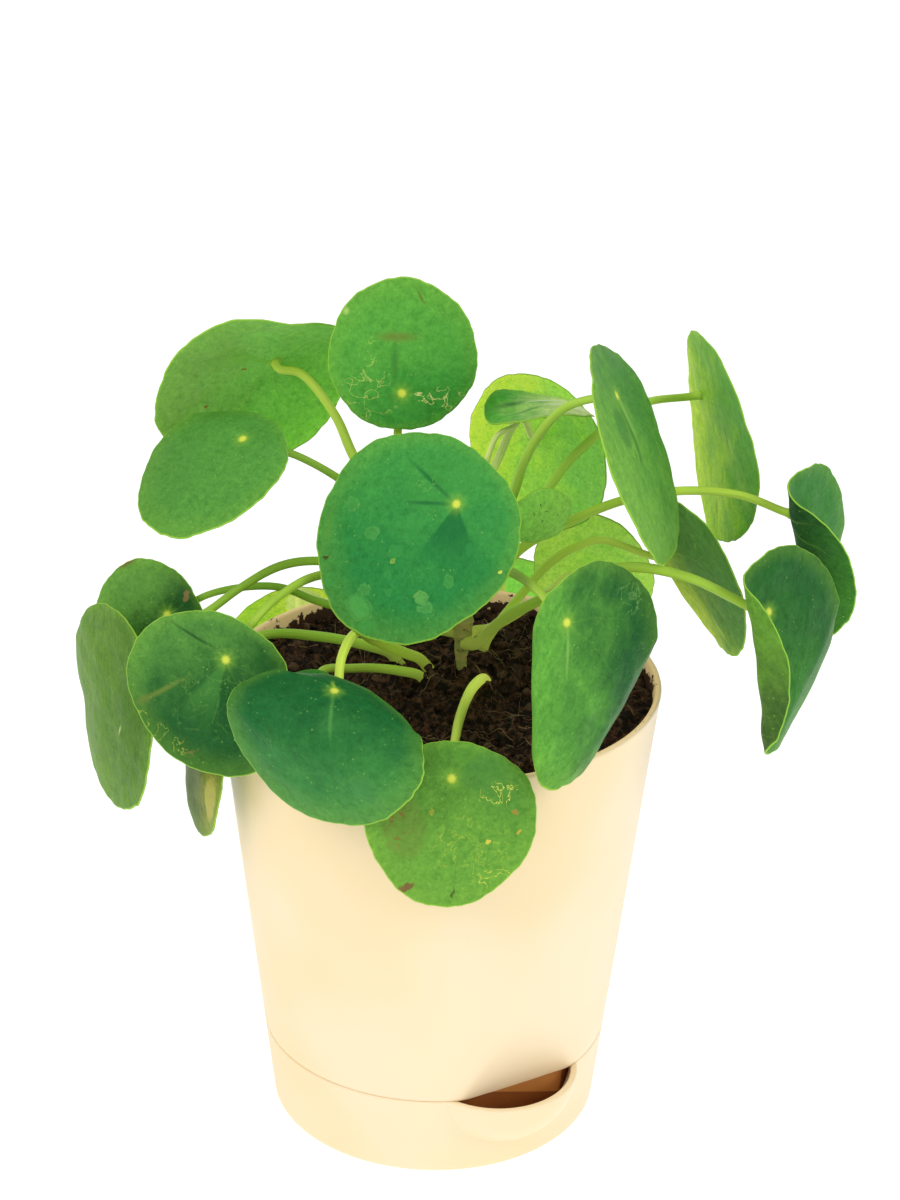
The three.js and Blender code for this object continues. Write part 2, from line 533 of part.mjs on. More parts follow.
place('pot_body', makePot(), CREAM);
place('reservoir_base', makeReservoir(), CREAM);
place('wick', makeWick(), FELT);
place('soil', makeSoil(), SOIL);
place('crown', makeCrown(), BARK);
LEAVES.forEach((leaf, index) => {
  const name = `leaf_${String(index + 1).padStart(2, '0')}`;
  const seenFromBelow = Math.abs(leaf.face[0]) > 100;
  place(`${name}_blade`, makeBlade(leaf, index + 1), seenFromBelow ? UNDERLEAF : LEAF);
  place(`${name}_petiole`, makeStalk(leaf, index + 1), STALK);
});

export default plant;
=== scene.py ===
import math

import bmesh
import bpy
import numpy as np
from mathutils import Matrix, Vector


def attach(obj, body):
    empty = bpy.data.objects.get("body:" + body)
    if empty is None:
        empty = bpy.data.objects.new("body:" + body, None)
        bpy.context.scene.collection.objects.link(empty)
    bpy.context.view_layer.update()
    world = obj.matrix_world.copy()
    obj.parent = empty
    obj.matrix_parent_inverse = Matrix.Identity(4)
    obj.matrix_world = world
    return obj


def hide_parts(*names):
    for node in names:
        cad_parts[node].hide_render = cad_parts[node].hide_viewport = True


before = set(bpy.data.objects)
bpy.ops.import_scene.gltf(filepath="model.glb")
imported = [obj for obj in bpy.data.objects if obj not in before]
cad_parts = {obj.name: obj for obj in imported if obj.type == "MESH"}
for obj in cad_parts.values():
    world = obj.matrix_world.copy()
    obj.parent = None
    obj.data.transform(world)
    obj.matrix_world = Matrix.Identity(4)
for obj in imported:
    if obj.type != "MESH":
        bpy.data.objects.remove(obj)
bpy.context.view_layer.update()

bl_info = {
    "name": "Potted Chinese Money Plant",
    "version": (1, 0, 0),
    "blender": (4, 5, 0),
    "location": "View3D > Sidebar > Money Plant",
    "description": "A Pilea peperomioides in a cream self-watering pot, with its stage",
    "category": "Add Mesh",
}

MM = 0.001
DEGREE = math.pi / 180
FULL_TURN = 2 * math.pi

# ---------------------------------------------------------------- sizes, in millimetres
POT_HEIGHT = 140
FOOT_RADIUS = 49
FOOT_EDGE = 2.4                  # rounding under the foot
RIM_RADIUS = 65
RIM_EDGE = 1                     # rounding of the rim
WALL = 2
SEAM_HEIGHT = 27
SEAM_GAP = 0.15
SEAM_EDGE = 0.12                 # bevel of the edges that meet at the seam
LIP_EDGE = 0.4                   # bevel of the reservoir's upper edge
SKIRT_INSET = 2.5                # from the outer wall to the skirt that stands in the reservoir
FLOOR_HEIGHT = 14
FLOOR_THICKNESS = 2
WICK_RADIUS = 6
WICK_TOP = 24
WICK_EDGE = 0.6
BASE_FLOOR = 2.5
BASE_FLOOR_EDGE = 4.5            # height up to which that floor curves into the wall
STAIN_AND_SHADE_TOP = 17                   # level of the water that stained the reservoir; under it the brown is also painted shade
SPOUT_TURN = 30.6                # degrees from the front towards +X
SPOUT_CHORD = 48.6
SPOUT_REACH = 59.4
SPOUT_RADIUS = 22
SPOUT_DEPTH = 19.2
FACET_TOP = 50
FACET_SPREAD = 80                # degrees from the spout's middle within which the facet can cut the wall
SOIL_EDGE = 134.2
SOIL_MOUND = 3.6
SOIL_GAP = 0.15                  # between the soil and the wall
FIT = 0.3                        # between the wick and what it passes through
CROWN = {"x": 6.4, "y": 12, "bottom": 127, "top": 176}
CROWN_SHAPE = ((127, 1.6), (139.5, 1.6), (146, 2.3), (151, 3.1), (176, 2.9))   # heights and radii
BLADE_THICKNESS = 0.8
BLADE_EDGE = 0.012               # share of a blade's reach that its rounded edge takes
HUB_DENT = 0.8                   # depth of the dent over the stalk
VEINS = 9                        # main veins that leave a hub

# Each leaf: the hub where the stalk joins the blade, the way its upper face looks (turn from the front
# towards +X, and lift above level), the spin of its tip from straight downhill, its length and width, and
# its form. A bend is (direction of its line's normal, distance from the middle, radius, angle). A root of
# two numbers is a turn and a height on the crown, and one of three is a point in the soil. way holds the
# points that the stalk passes, and stalk is its radius.
LEAVES = [
    dict(hub=(-12, 12, 224), face=(0, 15, 180), size=(43.5, 42.5), offset=(0.5, 0), dome=2.5,
         root=(195, 172), way=((-8, 10, 192), (-13, 14, 208)), stalk=1.35),
    dict(hub=(-50, 40, 223), face=(-153, 23, 85), size=(62, 60), offset=(0.21, 0.18), taper=0.02, dome=3.5,
         roll=(0.015, -0.015), root=(150, 168),
         way=((-14, 18, 186), (-25.4, 22, 199.2), (-31.8, 29, 210.4), (-42.3, 37, 220.2)), stalk=1.5),
    dict(hub=(-57, 5, 212), face=(-41, 55, 1), size=(48.5, 46), offset=(0.48, 0.19), taper=0.08, dome=3,
         bends=((175, 13, 7, -17),), root=(172, 164),
         way=((-13, 10, 184), (-30.1, 9, 198.8), (-40.9, 8, 205.5), (-45.1, 7, 207.4)), stalk=1.25),
    dict(hub=(4, -28, 207), face=(-29, 33, -82), size=(62, 60), offset=(0.36, -0.33), taper=-0.08, dome=2.5,
         root=(270, 170), way=((8, -4, 186), (8, -14, 197)), stalk=1.5),
    dict(hub=(-80, 8, 155), face=(-27, 20, -90), size=(38, 36), offset=(0.36, -0.2), taper=-0.08, dome=3,
         root=(182, 149),
         way=((-16, 13, 153.5), (-35.6, 14, 157.2), (-47.3, 13, 162.2), (-58.9, 12, 162.3),
              (-69.1, 11, 159.9)),
         stalk=1.2),
    dict(hub=(-95, -8, 149), face=(-61, 4, 43), size=(61, 57), offset=(0.41, 0.39), taper=0.08, dome=2,
         roll=(0.008, 0), root=(185, 156),
         way=((-14, 7, 169), (-35, 3, 175.3), (-46.4, 0, 174.8), (-57.8, -3, 169), (-67.8, -5, 161.8)),
         stalk=1.3),
    dict(hub=(-59, -42, 165), face=(-16, 10, -31), size=(46, 51), offset=(0.45, -0.07), taper=-0.1,
         dome=1.5, root=(212, 161),
         way=((-12, 0, 174), (-34.2, -14, 178.5), (-43.4, -26, 178.6), (-51.2, -37, 174.9)), stalk=1.3),
    dict(hub=(-28, -64, 167), face=(-9, 63, -21), size=(54.5, 61.5), offset=(0.64, -0.1), taper=0.03,
         dome=3.5, roll=(0.006, 0), bends=((1, -12, 14, -72), (178, 18, 6, -28)), root=(-0.7, 15.7, 132),
         way=((-5.9, 10.5, 140.8), (-10.2, 5, 145.3), (-19, -8, 155.5), (-21.8, -19, 163),
              (-23.1, -31, 169), (-25.4, -42.5, 170.8), (-26.9, -50, 169), (-27.3, -55.5, 164.3)),
         stalk=1.5),
    dict(hub=(4, -70, 144), face=(6, 15, -2), size=(46.5, 47), offset=(0.56, 0), taper=0.1, dome=2.3,
         root=(15.8, 7, 132),
         way=((13.1, 3, 138.3), (10.1, -7, 140.9), (7.8, -19, 142.3), (6.1, -32, 143.4), (5, -46, 144.9)),
         stalk=1.45),
    dict(hub=(-69, -18, 126), face=(-69, 4, 5), size=(40, 37), offset=(0.41, 0), taper=0.11, dome=2,
         root=(-10, 19.5, 132),
         way=((-14.9, 17, 139.4), (-20.7, 12, 144), (-35, 1, 152.1), (-51.1, -10, 157.4),
              (-63, -15.5, 153), (-66, -16, 140)),
         stalk=1.45),
    dict(hub=(34, -63, 188), face=(43, 7, -24), size=(64, 57), offset=(0.44, -0.48), taper=0.03, dome=4,
         roll=(0, 0.02), bends=((62, 15, 8, -15), (-72, 14.5, 8, -87)), root=(292, 163),
         way=((14, -5, 177), (20.2, -22, 183.8), (24.6, -36, 186.9), (28.5, -48, 188.2)), stalk=1.4),
    dict(hub=(48, -8, 232), face=(78, 23, -4), size=(64.5, 59), offset=(0.54, 0.06), dome=2.6,
         roll=(-0.004, -0.005), root=(330, 172),
         way=((15, 8, 184), (20, 6, 195.1), (23.1, 4, 206.8), (28, 2, 217.5), (34, 0, 225),
              (41.4, -4, 229.4)),
         stalk=1.4),
    dict(hub=(78, 60, 207), face=(105, 6, 2), size=(65, 60.5), offset=(0.31, 0.34), taper=0.05, dome=2.6,
         roll=(-0.008, -0.012), root=(36, 164),
         way=((19, 19, 176), (30.5, 24, 189.9), (37.1, 27, 198.3), (44.8, 29, 205.5), (52.1, 33, 209.7),
              (60.4, 46, 209.6)),
         stalk=1.4),
    dict(hub=(102, 14, 188), face=(52, -1, 5), size=(54.5, 49), offset=(0.53, -0.16), taper=-0.05, dome=1.5,
         bends=((-80, -0.5, 6.4, 97),), root=(4, 159),
         way=((22.3, 13, 175.1), (38, 14, 184.8), (53, 16, 190.6), (68.9, 17, 193.3), (86.4, 17, 192.3)),
         stalk=1.4),
    dict(hub=(92, -26, 175), face=(46, 13, -11), size=(59.5, 53.5), offset=(0.39, -0.29), dome=1.5,
         bends=((-80, 11, 5, 104), (51, 11, 8, -30)), root=(318, 146.5),
         way=((14.6, 7, 152.2), (20.2, 3, 159.1), (28.6, -4, 167.3), (41, -11, 177.1), (52.6, -17, 184),
              (69.8, -22, 183.2)),
         stalk=1.55),
    dict(hub=(68, 38, 165), face=(117, 19, -49), size=(52.5, 50.5), offset=(0.52, 0.37), dome=2.7,
         roll=(-0.012, -0.01), root=(11, 23.5, 132),
         way=((14.3, 24, 141.6), (25.1, 28, 155.8), (30.9, 30, 162.5), (38.2, 32, 167.4),
              (47.2, 34, 169.9)),
         stalk=1.3),
    dict(hub=(29, 48, 198), face=(146, 5, -1), size=(51, 49), offset=(0.22, 0), taper=0.04, dome=2.4,
         root=(78, 171), way=((10, 24, 183), (16.7, 34, 196.7), (20.2, 40, 202.9), (23.1, 43, 205.3)),
         stalk=1.3),
    dict(hub=(21, 20, 216), face=(189, 84, -72), size=(31.5, 30), offset=(0.48, 0), dome=3.9,
         roll=(-0.045, -0.012), root=(100, 174), way=((9, 18, 190), (12.7, 17, 201.9), (15.7, 19, 209)),
         stalk=0.9),
    dict(hub=(31, 3, 191), face=(20, -5, -76), size=(20, 17), offset=(0.29, 0), dome=2, root=(352, 167),
         way=((18, 9, 177), (26, 7, 186)), stalk=0.9),
    dict(hub=(49, 60, 139.5), face=(165, 8, 170), size=(42, 38), offset=(0.45, 0), dome=2.5, root=(48, 147),
         way=((14.7, 16, 148.7), (29.7, 32, 151.1), (40.8, 50, 151.1)), stalk=1.3),
    dict(hub=(21.9, 74, 125), face=(178, 6, 180), size=(36, 34), offset=(0.3, 0), dome=2.5, root=(85, 155),
         way=((10, 32, 156), (15.6, 58, 149), (18.5, 66.5, 141)), stalk=1.2),
    dict(hub=(-46, 76, 124), face=(-165, 22, 10), size=(44, 42), offset=(0.35, 0), dome=2.5,
         root=(125, 154), way=((-12, 28, 153), (-34.2, 44, 142.3), (-39.3, 50, 142.6), (-43.6, 56, 141.2)),
         stalk=1.2),
    dict(hub=(-37, -36, 153), face=(-40, 60, 0), size=(24, 22), offset=(0.35, 0), dome=1.5,
         root=(-1.9, 7, 131),
         way=((-5.7, 4, 138.4), (-11.5, -1, 142.4), (-18.7, -7, 146.1), (-25.7, -14, 149.3),
              (-33.3, -23, 152.7)),
         stalk=1.35),
]

# The skin of each leaf. upper and under hold the colours of a face where it is dim and where it is lit: its
# painted shade and painted light. dim and lit are the places of those, in centimetres from the hub: towards
# the tip, and across. dim_under and lit_under are the places on an underside that has its own. stalk holds
# the colours of the stalk's foot and tip. through, through_under and stalk_through are the strengths of a
# painted glow that stands for light shining through the upper face, the underside and the stalk. hub says
# whether the pale dot over the stalk shows. grain is the way that fine streaks run, in degrees.
# The pale undersides of leaves 2, 17, 20, 21 and 22 and the pale upper face of leaf 19 are partly their own
# colour and partly painted light shining through them. The dark underside of leaf 14 is painted shade.
# A mark is a kind, a place, two half sizes, a turn in degrees, a colour and a strength. A wedge has a turn,
# half its width in degrees and its length, instead of a place and sizes. The upper face has marks and the
# underside has marks_under. What a skin doesn't name is as in the usual one.
USUAL_SKIN = dict(upper=("#2f8a34", "#55a83d"), through=0, under=("#6fa83a", "#93c24c"), through_under=0,
                  hub=True, stalk=("#a2c844", "#c2e254"), stalk_through=0.26, marks=(), marks_under=())
SKINS = [
    dict(upper=("#419a3b", "#5aa83f"), dim=(-0.8, -1), lit=(2, 0.6), stalk=("#8cb83c", "#aed048"),
         marks=(("line", 1.61, 0.17, 0.2, 0.8, 0, "#6f8034", 0.8),
                ("line", 0.9, 0.2, 0.75, 0.16, 0, "#3a7430", 0.6),
                ("scribble", -0.1, -1.1, 0.36, 0.95, -12, "#d4de86", 0.9),
                ("scribble", -0.05, 0.9, 0.8, 0.95, 0, "#b9cf6a", 0.8),
                ("scribble", 1.1, 0.9, 0.55, 0.2, 0, "#bcd664", 0.7),
                ("line", 2.3, 1.62, 0.16, 0.12, 0, "#b4d470", 0.8),
                ("line", 2.75, -0.5, 0.35, 0.06, 30, "#5f5a2a", 0.7))),
    dict(under=("#8aca64", "#80aa56"), dim=(0, -1), lit=(3, -0.2), stalk=("#a0c846", "#bedc52"),
         marks_under=(("patch", 0.94, -0.15, 0.08, 0.06, 0, "#8a4a2a", 0.8),
                      ("patch", 2.08, -1.26, 0.07, 0.06, 0, "#8a5a2a", 0.8),
                      ("wedge", 215, 24, 1.6, "#7fb83f", 0.4), ("wedge", 20, 14, 2.6, "#74b03c", 0.4))),
    dict(upper=("#5aa042", "#589a3e"), dim=(0, 1.2), lit=(2.5, -1.8), stalk=("#6f9a32", "#8fbc3e"),
         marks=(("scribble", 1.6, 0.2, 1.3, 0.9, 0, "#6fae44", 0.35),)),
    dict(upper=("#2b8a40", "#45a045"), dim=(1.2, 2.4), lit=(0.6, -1.7), stalk=("#8cb83c", "#b6d84c"),
         marks=(("wedge", 92, 31, 2.3, "#0f6a34", 0.75), ("wedge", -60, 70, 2.2, "#41963e", 0.4),
                ("line", 0.85, -0.6, 1.2, 0.09, -36, "#176432", 0.8),
                ("line", 0.8, 0.05, 1.0, 0.09, 3, "#176432", 0.8),
                ("ring", 3.15, 0.24, 0.2, 0.2, 0, "#6fb455", 0.55),
                ("ring", 2.37, 1.01, 0.21, 0.15, 10, "#74bb5a", 0.6),
                ("patch", 1.14, 0.64, 0.34, 0.28, 0, "#3c9a44", 0.4),
                ("patch", 1.57, 1.5, 0.34, 0.2, 20, "#429e49", 0.45),
                ("ring", 1.58, 1.77, 0.07, 0.07, 0, "#c9dd58", 0.8),
                ("ring", 2.32, 2.6, 0.19, 0.14, 0, "#74bb5a", 0.6),
                ("ring", -0.17, 2.19, 0.12, 0.18, 20, "#6fb857", 0.6),
                ("patch", 0.6, 2.68, 0.18, 0.15, 0, "#4cab52", 0.5),
                ("ring", 0.6, 2.68, 0.19, 0.16, 0, "#93cc62", 0.7),
                ("ring", 0.42, 2.98, 0.2, 0.12, 20, "#79c260", 0.6),
                ("patch", 1.57, 2.63, 0.12, 0.12, 0, "#419e49", 0.45),
                ("patch", 1.67, 2.15, 0.12, 0.16, 0, "#419e49", 0.4),
                ("patch", -0.63, 1.21, 0.14, 0.22, 0, "#358f44", 0.5),
                ("patch", 3.5, 2.4, 0.2, 0.2, 0, "#419e49", 0.4),
                ("patch", 2.45, 3.1, 0.42, 0.3, -35, "#4fae50", 0.5),
                ("ring", 2.45, 3.1, 0.44, 0.31, -35, "#86c85f", 0.3),
                ("patch", 2.15, 3.6, 0.34, 0.2, 0, "#419c45", 0.5),
                ("scribble", 1.0, -0.45, 0.35, 0.3, 0, "#6fb44f", 0.7),
                ("patch", 3.78, 1.78, 0.1, 0.06, 0, "#4a3c1a", 0.9),
                ("patch", -1.59, 1.77, 0.05, 0.05, 0, "#d0de5a", 0.9),
                ("line", 3.85, 0.95, 0.2, 0.8, 0, "#5f9a3c", 0.5))),
    dict(upper=("#285e26", "#68a244"), dim=(0, 0), lit=(1.0, -0.5), stalk=("#78a836", "#98c642"),
         marks=(("ring", 0.99, 0.18, 0.1, 0.1, 0, "#37421c", 0.9),
                ("patch", -0.48, -0.68, 0.1, 0.17, 0, "#a9825a", 0.6),
                ("line", 1.72, -1.18, 0.1, 0.6, -55, "#7c4a2c", 0.7),
                ("scribble", 1.0, -0.3, 0.8, 0.8, 0, "#6fa048", 0.5))),
    dict(upper=("#507c28", "#64902e"), dim=(1.7, 0.9), lit=(0.3, -1.6), grain=-18, hub=False,
         stalk=("#86b23a", "#9cc840"),
         marks=(("line", 2.14, -0.35, 0.25, 0.06, -60, "#c8d890", 0.8),)),
    dict(upper=("#205e28", "#5a9640"), dim=(1.2, 0.6), lit=(-0.6, -1.4), stalk=("#98c442", "#a6cc44"),
         marks=(("line", 0, -1.08, 0.07, 1.15, 8, "#1f4d22", 0.85),
                ("line", 1.9, -0.97, 1.1, 0.11, -25, "#80903a", 0.55),
                ("line", 2.5, -1.25, 0.45, 0.18, -25, "#6c7c34", 0.55),
                ("wedge", 8, 16, 2.6, "#4f9440", 0.5), ("scribble", 2.8, 0.6, 0.25, 0.4, 0, "#8a783c", 0.6),
                ("scribble", 3, -0.4, 0.3, 1.1, 0, "#b4c658", 0.55),
                ("scribble", 1, 0.2, 1.8, 1.5, 0, "#79ad4c", 0.22))),
    dict(upper=("#1e6a32", "#3f8a40"), dim=(0.8, -0.4), lit=(3.4, 1.2), stalk=("#a8cc40", "#cfe856"),
         marks=(("line", 0.75, 0.36, 1.1, 0.09, 26, "#5aa04c", 0.7),
                ("line", -0.25, -0.14, 0.36, 0.1, 30, "#a5cc4a", 0.8),
                ("patch", 2.62, 1.93, 0.55, 0.36, 20, "#3c8544", 0.4),
                ("ring", 2.62, 1.93, 0.56, 0.37, 20, "#5f9d4d", 0.35),
                ("scribble", 2, -0.8, 0.6, 1.2, 0, "#23602c", 0.5))),
    dict(upper=("#5c9638", "#6ca63e"), dim=(-0.4, 1.2), lit=(1.8, 0.2), stalk=("#c8dc58", "#d2e85c"),
         stalk_through=0.55,
         # The wedge is a painted shadow beside the hub.
         marks=(("wedge", 98, 34, 2.4, "#46803a", 0.45),
                ("scribble", 0.45, 1.35, 0.4, 0.65, 0, "#d6dc62", 0.9),
                ("scribble", 2.85, 1.25, 0.35, 0.6, 20, "#c8d452", 0.8),
                ("scribble", 1.9, 0.6, 1.2, 1.2, 0, "#b4cc4c", 0.45),
                ("patch", 1.3, -1.3, 1.05, 0.7, 12, "#6f8a3a", 0.5),
                ("scribble", 1.4, -1.4, 0.7, 0.5, 12, "#8a642c", 0.75),
                ("patch", 3.08, -1.2, 0.12, 0.32, 30, "#7a5a3a", 0.9),
                ("patch", 3.22, 0.1, 0.2, 0.04, 0, "#3f5a22", 0.8),
                ("patch", 0.92, 1.75, 0.1, 0.09, 0, "#a08a3a", 0.8),
                ("patch", 1.75, 1.03, 0.07, 0.07, 0, "#dccf50", 0.9),
                ("patch", 0.9, -0.53, 0.16, 0.06, 0, "#b0b040", 0.8),
                ("patch", 1.5, 1.9, 0.07, 0.06, 0, "#c2b044", 0.8))),
    dict(upper=("#5f7626", "#8c9638"), dim=(1.5, -0.2), lit=(1.4, 1.2), grain=-10, hub=False,
         stalk=("#9cc844", "#a6cc44"),
         marks=(("patch", 1.25, 1.2, 0.85, 0.4, -15, "#bcb654", 0.85),)),
    dict(upper=("#1f5e2c", "#68b042"), dim=(0, 3), lit=(1.4, -1.2), grain=-17, stalk=("#a6cc44", "#b2d84a"),
         marks=(("line", 0.75, 0.2, 1, 0.08, 14, "#8ac25a", 0.7),
                ("ring", -1.05, 2.29, 0.1, 0.13, 0, "#7fb560", 0.6),
                ("scribble", -1, 2.2, 0.5, 0.7, 0, "#7fb560", 0.6))),
    dict(upper=("#4a903a", "#76b642"), dim=(0.6, 2), lit=(2.4, -2), grain=-8, stalk=("#a8d450", "#b4dc54"),
         marks=(("patch", 0.7, -1, 0.7, 0.5, 0, "#377a34", 0.5),
                ("line", 0.6, 0, 0.9, 0.2, -8, "#93c860", 0.7),
                ("line", 1.3, -0.35, 1.3, 0.25, -8, "#2f702c", 0.7),
                ("ring", 2.41, 1.85, 0.35, 0.32, 0, "#8cc860", 0.6))),
    dict(under=("#66a43e", "#b8d63e"), dim=(0.4, -3), lit=(2.6, 0.8), grain=-22,
         stalk=("#a8d450", "#b4dc54"),
         marks_under=(("line", 0.59, -1.91, 0.5, 0.12, -22, "#5c7434", 0.7),
                      ("line", 3.3, -1.09, 0.5, 0.14, -22, "#6c8038", 0.7))),
    dict(upper=("#3c8434", "#4c9436"), under=("#164622", "#3e7c32"), dim=(0.9, 0.9), lit=(3, -1.4),
         stalk=("#a2c844", "#b8dc4c"),
         marks_under=(("scribble", 2, 0, 1, 1, 0, "#63a04a", 0.4),)),
    dict(upper=("#24642a", "#3f8232"), under=("#3c5830", "#6c9a3e"), dim=(0.2, 2.5), lit=(2.4, 0.8),
         dim_under=(3.5, -0.8), lit_under=(1, 0), grain=-14, stalk=("#9cc244", "#a4cc44"),
         marks_under=(("line", 1.65, 0.28, 1, 0.15, -20, "#4f5a2a", 0.8),
                      ("line", 1.9, -0.15, 0.8, 0.1, -20, "#4f5a2a", 0.6))),
    dict(upper=("#2f7a34", "#4a983d"), under=("#588c42", "#a8c23e"), dim=(1.6, -1.2), lit=(1.5, 1.5),
         grain=-15,
         marks_under=(("line", 2.9, -0.08, 0.7, 0.1, -15, "#a8c060", 0.8),
                      ("line", 2.2, 0.3, 0.5, 0.08, 10, "#9ab658", 0.7),
                      ("patch", 0.79, -2, 0.12, 0.12, 0, "#8aa84a", 0.6),
                      ("scribble", 2, -1, 1.4, 1, 0, "#6c8c40", 0.6))),
    dict(under=("#9cd870", "#d4fc60"), through_under=0.12, dim=(0.8, -1.6), lit=(-0.4, 1.6),
         stalk=("#d4f080", "#f0fca0"), stalk_through=0.5),
    dict(upper=("#46b62c", "#dcf694"), under=("#4f9a33", "#8fc65a"), dim=(-0.3, 0.5), lit=(1.8, -0.6),
         grain=-20, hub=False, stalk=("#d4f080", "#f0fca0"), stalk_through=0.5,
         # The two pale lines are painted highlights, and the three dark lines painted shade in the folds.
         marks=(("line", 1.4, -0.4, 0.9, 0.14, -15, "#f2f8e8", 0.9),
                ("line", 1.1, 0.15, 0.9, 0.1, -12, "#dcecc8", 0.7),
                ("line", 0.1, 0.45, 0.5, 0.2, -15, "#256f2a", 0.8),
                ("line", 0.1, -0.3, 0.7, 0.12, -15, "#2f8a2c", 0.7),
                ("line", 0.75, 0.1, 0.5, 0.08, -12, "#2f8a2c", 0.6))),
    dict(upper=("#a4f068", "#aef06a"), through=0.1, dim=(0.6, -0.2), lit=(-0.4, 0), hub=False,
         marks=(("patch", 0.3, 0.05, 0.04, 0.04, 0, "#3f7426", 0.9),
                ("patch", 0.1, -0.2, 0.04, 0.03, 0, "#3f7426", 0.9),
                ("patch", -0.2, 0.1, 0.03, 0.04, 0, "#3f7426", 0.9),
                ("patch", 0.5, -0.25, 0.03, 0.03, 0, "#3f7426", 0.9),
                ("patch", 0.25, -0.45, 0.03, 0.03, 0, "#3f7426", 0.9))),
    dict(upper=("#3f9a34", "#6fb545"), under=("#bcf078", "#c8fa7c"), through_under=0.03, dim=(1.2, 1),
         lit=(1.4, -1), stalk=("#aed048", "#dcf07a")),
    dict(upper=("#3f9a34", "#6fb545"), under=("#a4f07c", "#b2fa84"), through_under=0.03, dim=(1, 0),
         lit=(2.2, 0.2), stalk=("#aed048", "#dcf07a")),
    dict(upper=("#3f9a34", "#6fb545"), under=("#a4d23a", "#bedc4a"), dim=(-0.2, 1.5), lit=(-0.7, 0.2),
         stalk=("#aed048", "#dcf07a"),
         marks_under=(("patch", -0.71, 0.14, 0.6, 0.45, 0, "#d9eaa0", 0.7),)),
    dict(dim=(-0.3, 0), lit=(0.8, 0)),
]


def linear(hex_colour):
    """The linear colour of a #rrggbb hex colour, with full alpha."""
    parts = [int(hex_colour[i:i + 2], 16) / 255 for i in (1, 3, 5)]
    return [p / 12.92 if p <= 0.04045 else ((p + 0.055) / 1.055) ** 2.4 for p in parts] + [1.0]


# ---------------------------------------------------------------- settings
def length_setting(name, description, millimetres):
    return bpy.props.FloatProperty(name=name, description=description, default=millimetres * MM, min=0,
                                   subtype="DISTANCE", unit="LENGTH", precision=5)


def colour_setting(name, description, hex_colour):
    return bpy.props.FloatVectorProperty(name=name, description=description, default=linear(hex_colour)[:3],
                                         min=0, max=1, size=3, subtype="COLOR")


class PotSettings(bpy.types.PropertyGroup):
    """Sizes and colours of the pot and its reservoir."""
    cream: colour_setting("Cream", "Colour of the moulded plastic", "#f6dfb0")
    inner: colour_setting("Inside", "Colour of the pot's inner wall", "#fad6a0")
    # Its brown is partly water staining and partly painted shade, inside the dim reservoir and on the skirt
    # in it.
    stain_and_shade: colour_setting("Stain", "Colour that water leaves in the reservoir", "#c48444")
    sectors: bpy.props.IntProperty(name="Sectors", description="Faces round the pot", default=320, min=48)
    crease: length_setting("Crease", "Rounding where the flat facet and the lip meet the wall", 0.5)


class SoilSettings(bpy.types.PropertyGroup):
    """Amounts and colours of the potting mix."""
    dark: colour_setting("Dark", "Colour of the moist potting mix", "#180e09")
    brown: colour_setting("Brown", "Colour of its drier parts", "#6a4832")
    root: colour_setting("Rootlets", "Colour of rootlets and fibres", "#94764f")
    crumbs: bpy.props.IntProperty(name="Crumbs", description="Number of loose crumbs", default=1500, min=0)
    rootlets: bpy.props.IntProperty(name="Fibres", description="Number of loose fibres", default=220, min=0)
    seed: bpy.props.IntProperty(name="Seed", description="Seed of the scattered crumbs", default=7)


class LeafSettings(bpy.types.PropertyGroup):
    """Sizes and colours that all leaves share."""
    thickness: length_setting("Blade thickness", "Thickness of a blade at its middle", BLADE_THICKNESS)
    sectors: bpy.props.IntProperty(name="Sectors", description="Faces round a blade", default=144, min=24)
    rings: bpy.props.IntProperty(name="Rings", description="Faces from hub to edge", default=28, min=6)
    hub: colour_setting("Hub", "Colour of the dot over the stalk", "#dfe857")
    # Glow also paints light towards the edge of each upper face.
    glow: colour_setting("Glow", "Colour round that dot", "#8cc040")
    # The rim is painted light caught by a blade's thin edge.
    rim: colour_setting("Rim", "Colour of the thin edge line", "#a2d246")


class StageSettings(bpy.types.PropertyGroup):
    """Light, floor and camera."""
    floor: colour_setting("Floor", "Colour of the pale floor", "#a8a8a6")
    lens: bpy.props.FloatProperty(name="Lens", description="Focal length in millimetres", default=91, min=1,
                                  unit="CAMERA")
    distance: length_setting("Distance", "Camera distance from the plant's middle", 877)
    sky: bpy.props.FloatProperty(name="Sky", description="Strength of the even light", default=0.55, min=0)
    key: bpy.props.FloatProperty(name="Key", description="Power of the main light", default=7.5, min=0,
                                 unit="POWER")


